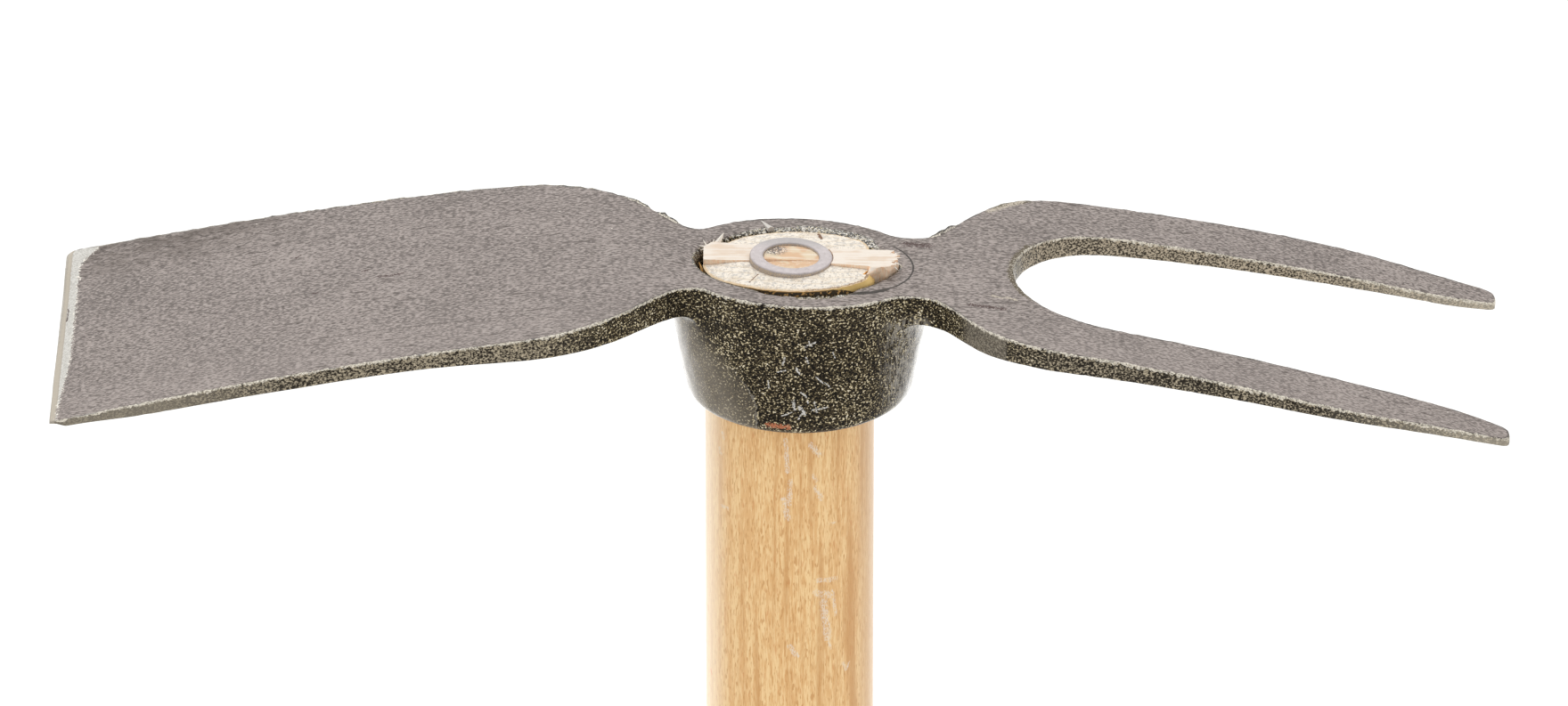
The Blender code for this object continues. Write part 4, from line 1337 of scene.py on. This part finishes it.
def spun_ring(grow, rise):
    """The section spun to a closed ring, and tilted as the head's top is."""
    section = ring_section(grow, rise)
    bm = bmesh.new()
    outline = bmesh.ops.create_circle(bm, segments=len(section), radius=1, cap_ends=False)
    for vert, (radius, height) in zip(outline["verts"], section):
        vert.co = Vector((radius, 0, height))
    bmesh.ops.spin(
        bm,
        geom=bm.verts[:] + bm.edges[:],
        axis=(0, 0, 1),
        cent=(0, 0, 0),
        angle=2 * math.pi,
        steps=RING_COLUMNS,
        use_merge=True,
    )
    bmesh.ops.remove_doubles(bm, verts=bm.verts, dist=SAME_PLACE)
    tilt = Matrix.Rotation(math.atan(HEAD_TILT), 3, "Y")
    bmesh.ops.rotate(bm, cent=(0, 0, RING_TOP), matrix=tilt, verts=bm.verts)
    bmesh.ops.translate(bm, vec=(RING_MIDDLE.x, RING_MIDDLE.y, 0), verts=bm.verts)
    bmesh.ops.recalc_face_normals(bm, faces=bm.faces)
    return bm


ring_bm = spun_ring(0.0, 0.0)
print("Ring:", len(ring_bm.faces), "faces")

# %% [markdown]
# A Boolean cut gives the handle its slit and its groove with the same crisp edges that a saw and a
# hammered ring leave. The cutting shapes are fatter copies of the wedge and the ring, so the real
# pieces stand clear of the wood by the thickness of a hair.

# %% Cut the slit and the groove into the handle
FACES_UP = 0.5

for vert in kerf_bm.verts:
    grown = vert.normal * CUT_CLEARANCE
    grown.x += vert[kerf_bm.verts.layers.float["open_end"]] * CUT_RISE
    if vert.normal.z > FACES_UP:
        grown.z += CUT_RISE
    vert.co += grown
handle_blank = object_from("handle_blank", handle_bm)
cutters = [object_from("kerf_cut", kerf_bm), object_from("groove_cut", spun_ring(CUT_CLEARANCE, CUT_RISE))]
for cutter in cutters:
    cut = handle_blank.modifiers.new(cutter.name, "BOOLEAN")
    cut.operation = "DIFFERENCE"
    cut.solver = "EXACT"
    cut.object = cutter
handle_bm = shaped_by_modifiers(handle_blank, cutters)
bmesh.ops.recalc_face_normals(handle_bm, faces=handle_bm.faces)
print("Handle after cutting:", len(handle_bm.faces), "faces")

# %% [markdown]
# The end face of the stick shows its growth rings and its pores, and its rim was crushed by the
# steel. So every corner there is marked with its distance from the outline, and pushed down a
# little by noise, more at the crushed rim and least on the smooth land behind the ring.

# %% Roughen the end grain
END_BAND = 0.002
END_FACES_UP = 0.6
END_PORES = ((0.035, 0.45 * MM, 31.0, 1.0), (0.05, 1.7 * MM, 32.0, 1.0))
CRUSHED_WIDTH = 0.5 * MM
CRUSHED_DEPTH = 0.10

outline_corners = [(corner.x, corner.y) for corner in end_outline]
outline_polar = sorted((math.atan2(y, x), math.hypot(x, y)) for x, y in outline_corners)


def outline_radius(polar):
    """Distance of the end face's outline from the axis in a direction."""
    before = outline_polar[-1]
    for after in outline_polar:
        if after[0] >= polar:
            span = after[0] - before[0]
            share = (polar - before[0]) / span if 0 < span < 1 else 1.0
            return between_numbers(before[1], after[1], share)
        before = after
    return outline_polar[0][1]


handle_bm.normal_update()
outline_layer = handle_bm.verts.layers.float.new("outline_gap")
end_verts = [vert for vert in handle_bm.verts if vert.co.z >= HEAD_TOP - END_BAND]
for vert in end_verts:
    place = vert.co
    gap = outline_radius(math.atan2(place.y, place.x)) - math.hypot(place.x, place.y)
    vert[outline_layer] = gap / MM
    if vert.normal.z >= END_FACES_UP:
        pores = layered(place, END_PORES)
        crushed = ramp(gap, CRUSHED_WIDTH, 0) * (1 + lumps(place, 0.8 * MM, 33.0))
        place.z += (pores - CRUSHED_DEPTH * crushed) * MM
print("End grain corners:", len(end_verts))

# %% [markdown]
# The stick was turned, sanded and given one coat of amber lacquer. Growth rings run the whole
# length as nested tubes whose middle lies behind the stick, so the front shows broad wavy streaks
# and the sides narrow ones. A flat pattern wrapped round the stick would show a seam. Rings that
# are computed in three dimensions have none, and fit the end face and the sides alike.

# %% Finish the lacquered stick: the wood
PITH = (0.004, 0.031, 0.0)
RING_SPACING = 0.0021
SIDE_WAVINESS = 0.0032
STREAK_PALE = (0.930, 0.650, 0.320)
STREAK_MID = (0.790, 0.465, 0.185)
STREAK_DARK = (0.600, 0.290, 0.080)
STREAK_FLECK = (0.640, 0.250, 0.060)
FLANK_PAINTED_LIGHT = (0.960, 0.800, 0.560)
FLANK_PAINTED_SHADE = (0.640, 0.400, 0.190)
LIT_LEFT_FLANK = ("x", -0.0105, -0.0145)
SHADED_RIGHT_FLANK = ("x", 0.0110, 0.0148)


def ring_tone(finish, waviness):
    """The growth rings as a value from 0 to 1, wavy along the stick."""
    wave = finish.cloud(9.0, stretch=(1, 1, 9), detail=2.0, seed=5)
    radius = finish.vector("LENGTH", finish.level_way(PITH)) + wave.between(-waviness, waviness)
    return finish.math("SINE", radius * (2 * math.pi / RING_SPACING)).between(0.5, 1.0)


lacquer = Finish("lacquered_wood")
streaks = lacquer.cloud(1.0, stretch=(1, 1, 18), detail=4.0, rough=0.65, seed=12)
fine_streaks = lacquer.cloud(0.24, stretch=(1, 1, 11), detail=3.0, rough=0.6, seed=17)
dark_streaks = lacquer.cloud(2.2, stretch=(1, 1, 26), detail=3.0, seed=23)
pores = lacquer.cloud(0.24, stretch=(1, 1, 7), detail=1.0, seed=29)
flecks = lacquer.cloud(0.40, stretch=(1, 1, 6), detail=1.0, seed=53)

tone = ring_tone(lacquer, SIDE_WAVINESS) * 0.10 + streaks * 0.34 + fine_streaks * 0.56
wood_colour = tone.band(0.43, 0.58).mix(STREAK_PALE, STREAK_MID)
# Painted light: the left flank is paler, a painted reflection of the lamp there, and the right flank darker,
# painted shade.
wood_tints = (
    (dark_streaks.band(0.52, 0.68) * 0.7, STREAK_DARK),
    (pores.band(0.58, 0.66) * 0.8, STREAK_DARK),
    (flecks.band(0.66, 0.74) * 0.6, STREAK_FLECK),
    (lacquer.zone(LIT_LEFT_FLANK) * 0.5, FLANK_PAINTED_LIGHT),
    (lacquer.zone(SHADED_RIGHT_FLANK) * 0.6, FLANK_PAINTED_SHADE),
)
for share, tint in wood_tints:
    wood_colour = share.mix(wood_colour, tint)
print("Wood made")

# %% [markdown]
# Where the stick rubbed on others in its crate the coat has scuffed to a dull white, and two specks
# of red stuck to it. Noise could scatter such marks, but the photograph shows each one, so each is
# a stroke between two pixels, broken up as a dry brush does.

# %% Finish the lacquered stick: scuffs and red specks
SCUFF = (0.860, 0.760, 0.640)
SPECK_RED = (0.85, 0.30, 0.13)
SCUFFS = (
    ((882, 494), (884, 530), 0.55),
    ((887, 540), (886, 566), 0.60),
    ((880, 562), (884, 582), 0.75),
    ((910, 500), (919, 510), 0.75),
    ((913, 534), (916, 540), 0.45),
    ((915, 548), (922, 560), 0.55),
    ((918, 652), (938, 650), 0.60),
    ((916, 666), (932, 668), 0.85),
    ((924, 676), (929, 716), 0.95),
    ((934, 664), (938, 690), 0.45),
    ((886, 726), (895, 737), 0.60),
    ((946, 744), (949, 752), 0.35),
    ((953, 744), (950, 752), 0.30),
    ((808, 504), (809, 509), 0.60),
    ((932, 588), (937, 587), 0.32),
    ((810, 568), (817, 571), 0.45),
    ((811, 486), (812, 492), 0.50),
    ((930, 718), (932, 728), 0.35),
)
RED_SPECKS = (((795, 680), (795, 686), 0.28), ((798, 752), (799, 757), 0.30))

handle_tree = BVHTree.FromBMesh(handle_bm)
brushy = lacquer.cloud(0.30, stretch=(1, 1, 3), detail=4.0, rough=0.75, seed=35)
brush_holes = lacquer.cloud(0.16, stretch=(1, 1, 3), detail=2.0, rough=0.7, seed=37)
scuff_strokes = [seen_stroke(lacquer, handle_tree, *scuff, brushy) for scuff in SCUFFS]
scuffed = scuff_strokes[0]
for stroke in scuff_strokes[1:]:
    scuffed = scuffed.at_least(stroke)
scuffed = scuffed * brush_holes.band(0.44, 0.58)
wood_colour = (scuffed * 0.80).mix(wood_colour, SCUFF)
for speck in RED_SPECKS:
    wood_colour = (seen_stroke(lacquer, handle_tree, *speck, brushy) * 0.6).mix(wood_colour, SPECK_RED)
print("Scuffs made:", len(SCUFFS))

# %% [markdown]
# Inside the eye the tenon's side is dark where it meets the steel, as painted shade of the gap, and
# golden where light falls in at the fork, as a painted pool of light. A third material could hold
# this, but zones of Z and X mix it in with soft borders. The golden part reaches deeper towards the
# fork, so its foot is a height that changes with X.

# %% Finish the lacquered stick: the tenon, and wire it
GOLD = (0.820, 0.480, 0.170)
TENON_LIT_GOLD = (1.000, 0.700, 0.270)
TENON_GAP_SHADE = (0.060, 0.045, 0.028)
IN_EYE = ("z", HEAD_TOP - 0.006, HEAD_TOP - 0.004)
OUT_OF_EYE = ("z", HEAD_TOP - 0.0001, HEAD_TOP + 0.0002)
AT_FORK = ("x", 0.0045, 0.0070)
GOLD_DROPS = ("x", 0.0075, 0.0140)
GOLD_HEIGHTS = (0.0001, -0.0018)
GOLD_FRAY = 0.0002
GOLD_FADE = 0.0001
WOOD_RELIEF = 0.06 * MM

tenon_crumbs = lacquer.cloud(0.5, detail=2.0, seed=41)
# Painted shade: deep in the eye the tenon is nearly black, with golden crumbs.
tenon_colour = tenon_crumbs.band(0.55, 0.68).mix(TENON_GAP_SHADE, GOLD)
tenon_colour = lacquer.zone(OUT_OF_EYE).mix(tenon_colour, GOLD)
above_foot = lacquer.z - (lacquer.zone(GOLD_DROPS).between(*GOLD_HEIGHTS) + HEAD_TOP)
above_foot = above_foot + tenon_crumbs.between(-GOLD_FRAY, GOLD_FRAY)
# Painted light: a pool of light that falls in at the fork.
lit_gold_share = lacquer.zone(AT_FORK) * above_foot.band(-GOLD_FADE, GOLD_FADE)
tenon_colour = lit_gold_share.mix(tenon_colour, TENON_LIT_GOLD)
wood_colour = lacquer.zone(IN_EYE).mix(wood_colour, tenon_colour)
lacquered_wood = lacquer.done(
    tone,
    WOOD_RELIEF,
    Base_Color=wood_colour,
    Roughness=scuffed.between(0.38, 0.70),
    Coat_Weight=0.12,
    Coat_Roughness=0.18,
)
print("Lacquered wood has", len(lacquered_wood.node_tree.nodes), "nodes")

# %% [markdown]
# Sawn end grain drinks no lacquer and stays cream. Its pores are open ends of tubes, so they are
# round dots drawn out along Z, and the growth rings cross them as faint tan arcs. Along the steel
# the wood is bruised to a golden tan, and where the ring was hammered home its inner disc took on
# orange and a smear of grey metal dust. Painting it by hand would not survive a change of size.

# %% Finish the end grain: the face and the disc
CREAM = (0.810, 0.745, 0.650)
CREAM_SHADE = (0.600, 0.500, 0.375)
TAN = (0.640, 0.450, 0.235)
PORE_BROWN = (0.230, 0.140, 0.080)
PALE_GREY = (0.560, 0.530, 0.490)
DISC_ORANGE = (0.640, 0.430, 0.270)
DISC_CREAM = (0.680, 0.560, 0.400)
DISC_MIDDLE = (RING_MIDDLE.x, RING_MIDDLE.y, HEAD_TOP)
DISC_RADIUS = 0.0052
DISC_FADE = 0.0005
END_WAVINESS = 0.0008


def disc_share(finish):
    """1 within the ring, seen from above."""
    radius = finish.vector("LENGTH", finish.level_way(DISC_MIDDLE))
    return radius.band(DISC_RADIUS + DISC_FADE, DISC_RADIUS)


endgrain = Finish("raw_end_grain")
cells = endgrain.cloud(0.62, stretch=(1, 1, 4), detail=2.0, seed=3)
tubes = endgrain.cloud(0.30, stretch=(1, 1, 4), detail=1.0, seed=9)
blotches = endgrain.cloud(3.0, detail=2.0, seed=15)
end_fray = endgrain.cloud(0.45, detail=2.0, seed=27)
outline = endgrain.mark("outline_gap") + end_fray.between(-0.4, 0.4)
disc_colour = blotches.band(0.42, 0.58).mix(DISC_CREAM, DISC_ORANGE)
disc_colour = (cells.band(0.5, 0.7) * 0.4).mix(disc_colour, CREAM)

face_colour = cells.band(0.47, 0.62).mix(CREAM, PALE_GREY)
face_tints = (
    (ring_tone(endgrain, END_WAVINESS).band(0.80, 1.0) * 0.45, CREAM_SHADE),
    (blotches.band(0.50, 0.68) * 0.5, CREAM_SHADE),
    (tubes.band(0.63, 0.71) * 0.7, PORE_BROWN),
    (outline.band(0.65, 0.25) * 0.7, TAN),
    (disc_share(endgrain), disc_colour),
)
for share, tint in face_tints:
    face_colour = share.mix(face_colour, tint)
print("End grain made")

# %% [markdown]
# Cracks, a dark seam along the wedge and the dust lie where the photograph shows them, so each is
# a stroke between two pixels. A painted shadow also follows the rim at the front as a dark line,
# where the steel stands off the wood and shade falls into the gap. It could be a row of strokes,
# but the mesh already carries the distance from the rim as a mark.

# %% Finish the end grain: cracks and dust, and wire it
CRACK = (0.180, 0.095, 0.055)
WEDGE_SEAM = (0.36, 0.19, 0.11)
METAL_DUST = (0.120, 0.118, 0.120)
RIM_SHADOW_GAP = 0.30
RIM_SHADOW_ZONE = (("x", 0.001, 0.004), ("y", -0.0035, -0.0050))
END_STROKES = (
    ((841, 317), (851, 308), 0.13, CRACK),
    ((935, 298), (976, 302), 0.14, WEDGE_SEAM),
    ((919, 263), (922, 268), 0.40, CRACK),
    ((862, 283), (872, 276), 0.75, METAL_DUST),
    ((872, 277), (884, 274), 0.60, METAL_DUST),
)
END_RELIEF = 0.12 * MM

# Painted shadow: a dark line in the gap where the steel stands off the wood.
rim_shadow = abs(outline - RIM_SHADOW_GAP).band(0.16, 0.05) * endgrain.zone(*RIM_SHADOW_ZONE) * 0.8
face_colour = rim_shadow.mix(face_colour, CRACK)
for start, end, width, tint in END_STROKES:
    face_colour = seen_stroke(endgrain, handle_tree, start, end, width, end_fray).mix(face_colour, tint)
raw_end_grain = endgrain.done(cells, END_RELIEF, Base_Color=face_colour, Roughness=0.85)
print("End grain has", len(raw_end_grain.node_tree.nodes), "nodes")

# %% [markdown]
# Both finishes belong to one piece. The end face takes the second material, which is chosen face
# by face, because a blend of the two would carry the nodes of both all along the stick.

# %% Dress the handle
SHARP_ANGLE = math.radians(40)

handle_finishes = (lacquered_wood, raw_end_grain)
handle_piece = dressed(
    "handle_turned", handle_bm, "handle", "lacquered_wood", *handle_finishes, sharp_angle=SHARP_ANGLE
)
end_faces = 0
for face in handle_piece.data.polygons:
    if face.normal.z > END_FACES_UP and face.center.z > HEAD_TOP - END_BAND:
        face.material_index = 1
        end_faces += 1
print("End grain faces:", end_faces)

# %% [markdown]
# A few splinters stand at the wedge's torn ends. Hair particles could make them, but there are only
# a dozen. They are thin cones laid over, because a splinter is thick at its root and ends in a
# point.

# %% Add the splinters
SPLINTERS = (
    ((-0.0150, 0.0056, 0.0007), (-0.0156, 0.0060, 0.0017), 0.00024, 1.0),
    ((-0.0150, 0.0048, 0.0008), (-0.0164, 0.0050, 0.0010), 0.00024, 1.0),
    ((-0.0151, 0.0040, 0.0008), (-0.0161, 0.0038, 0.0007), 0.00018, 1.0),
    ((-0.0134, 0.0068, -0.0002), (-0.0119, 0.0076, 0.0022), 0.00080, 1.0),
    ((-0.0140, 0.0064, 0.0004), (-0.0136, 0.0069, 0.0014), 0.00022, 1.0),
    ((-0.0156, -0.0008, -0.0014), (-0.0163, -0.0002, 0.0002), 0.00034, 0.0),
    ((-0.0158, -0.0016, -0.0016), (-0.0160, -0.0012, -0.0002), 0.00026, 0.0),
    ((-0.0034, 0.0130, 0.0002), (-0.0051, 0.0165, 0.0003), 0.00066, 0.5),
    ((0.0189, 0.0019, 0.0008), (0.0199, 0.0022, 0.0010), 0.00022, 1.0),
    ((0.0191, 0.0002, 0.0008), (0.0201, 0.0001, 0.0009), 0.00020, 1.0),
    ((0.0189, -0.0018, 0.0008), (0.0200, -0.0022, 0.0006), 0.00022, 1.0),
    ((0.0188, -0.0030, 0.0006), (0.0195, -0.0034, 0.0001), 0.00018, 1.0),
)
SPLINTER_SIDES = 7
SPLINTER_POINT = 0.12

white_layer = wedge_bm.verts.layers.float.new("whiteness")
for root, tip, thickness, whiteness in SPLINTERS:
    run = Vector(tip) - Vector(root)
    turn = Vector((0, 0, 1)).rotation_difference(run).to_matrix().to_4x4()
    centre = Vector((0, 0, HEAD_TOP)) + (Vector(root) + Vector(tip)) / 2
    cone = bmesh.ops.create_cone(
        wedge_bm,
        cap_ends=True,
        segments=SPLINTER_SIDES,
        radius1=thickness,
        radius2=SPLINTER_POINT * thickness,
        depth=run.length,
        matrix=Matrix.Translation(centre) @ turn,
    )
    for vert in cone["verts"]:
        vert[white_layer] = 1 + whiteness
print("Splinters:", len(SPLINTERS))

# %% [markdown]
# The wedge is split from a paler, straighter wood. Its top is nearly white, with long faint
# stripes, and its split sides are pink and fibrous. Scattering below the surface could make it
# glow, but a bar this thin then loses light into the dark hole. So its split sides are given warm
# colours lighter than its top: painted light on sides that the hole shades.

# %% Finish the wedge
WEDGE_WHITE = (0.760, 0.690, 0.610)
WEDGE_STRIPE = (0.680, 0.560, 0.450)
WEDGE_PINK_LIT = (1.000, 0.810, 0.630)
WEDGE_FIBRE_LIT = (0.980, 0.690, 0.480)
CHIP_GREY = (0.620, 0.590, 0.550)
SPLINTER_WHITE = (0.900, 0.850, 0.780)
DUST_PIXEL = (869, 280)
DUST_REACH = (3.0 * MM, 1.2 * MM)
SPLIT_RELIEF = 0.04 * MM

split = Finish("raw_wood")
stripes = split.cloud(0.7, stretch=(12, 1, 1), detail=3.0, seed=2)
fibres = split.cloud(0.28, stretch=(1, 1, 10), detail=2.0, seed=8)
wood_patches = split.cloud(3.5, detail=2.0, seed=14)
disc_dust = split.cloud(0.32, detail=3.0, rough=0.7, seed=22)
whiteness = split.mark("whiteness")

inner_colour = wood_patches.band(0.42, 0.58).mix(DISC_CREAM, DISC_ORANGE)
inner_colour = (stripes.band(0.52, 0.66) * 0.5).mix(inner_colour, CREAM)
dust_centre = behind_pixel(BVHTree.FromBMesh(wedge_bm), DUST_PIXEL)
dust_near = split.vector("DISTANCE", split.here, dust_centre).band(*DUST_REACH)
inner_colour = (dust_near * disc_dust.band(0.46, 0.51)).mix(inner_colour, METAL_DUST)
# The white grains in the metal dust are partly painted glints.
inner_colour = (dust_near * disc_dust.band(0.42, 0.38)).mix(inner_colour, SPLINTER_WHITE)

top_colour = (stripes * 0.6 + wood_patches * 0.4).band(0.45, 0.62).mix(WEDGE_WHITE, WEDGE_STRIPE)
top_colour = disc_share(split).mix(top_colour, inner_colour)
# Painted light: the split sides are brighter than the top, making up for the shade of the hole.
lit_split_colour = fibres.band(0.42, 0.62).mix(WEDGE_PINK_LIT, WEDGE_FIBRE_LIT)
raw_colour = split.facing(UP).band(0.60, 0.85).mix(lit_split_colour, top_colour)
splinter_colour = (whiteness - 1.0).band(0.0, 0.4).mix(GOLD, CHIP_GREY)
splinter_colour = (whiteness - 1.0).band(0.6, 1.0).mix(splinter_colour, SPLINTER_WHITE)
raw_colour = whiteness.band(0.2, 0.8).mix(raw_colour, splinter_colour)
raw_wood = split.done(fibres, SPLIT_RELIEF, Base_Color=raw_colour, Roughness=0.85)
dressed("wedge_split", wedge_bm, "wooden_wedge", "raw_wood", raw_wood, sharp_angle=SHARP_ANGLE)
print("Raw wood has", len(raw_wood.node_tree.nodes), "nodes")

# %% [markdown]
# Tumbled steel is dull and slightly mottled. Its outside carries the tan dust of the wood it was
# driven through. A plain metal shader would mirror the dark head and look black in places, so the
# finish is mostly diffuse, as a fine blasted surface is.

# %% Finish the ring
RING_GREY = (0.450, 0.405, 0.405)
RING_PALE = (0.510, 0.462, 0.462)
RING_DULL = (0.350, 0.312, 0.305)
RING_BACK_SHADE = (0.330, 0.315, 0.310)
RING_TAN = (0.560, 0.450, 0.330)
RING_SHADED_HALF = ("y", 0.002, 0.006)
RING_RELIEF = 0.03 * MM

bare = Finish("bare_steel")
mottle = bare.cloud(0.9, detail=3.0, rough=0.6, seed=4)
grit = bare.cloud(0.22, detail=2.0, seed=11)
ring_colour = mottle.band(0.35, 0.50).mix(RING_PALE, RING_GREY)
ring_colour = mottle.band(0.58, 0.70).mix(ring_colour, RING_DULL)
# Painted shade: the far half of the ring is darker.
ring_colour = (bare.zone(RING_SHADED_HALF) * 0.7).mix(ring_colour, RING_BACK_SHADE)
ring_side = grit.band(0.40, 0.62).mix(RING_TAN, RING_DULL)
ring_colour = bare.facing(UP).band(0.25, 0.60).mix(ring_side, ring_colour)
bare_steel = bare.done(grit, RING_RELIEF, Base_Color=ring_colour, Roughness=0.45, Metallic=0.15)
dressed("ring_tumbled", ring_bm, "ring_wedge", "bare_steel", bare_steel, sharp_angle=SHARP_ANGLE)
print("Bare steel has", len(bare_steel.node_tree.nodes), "nodes")
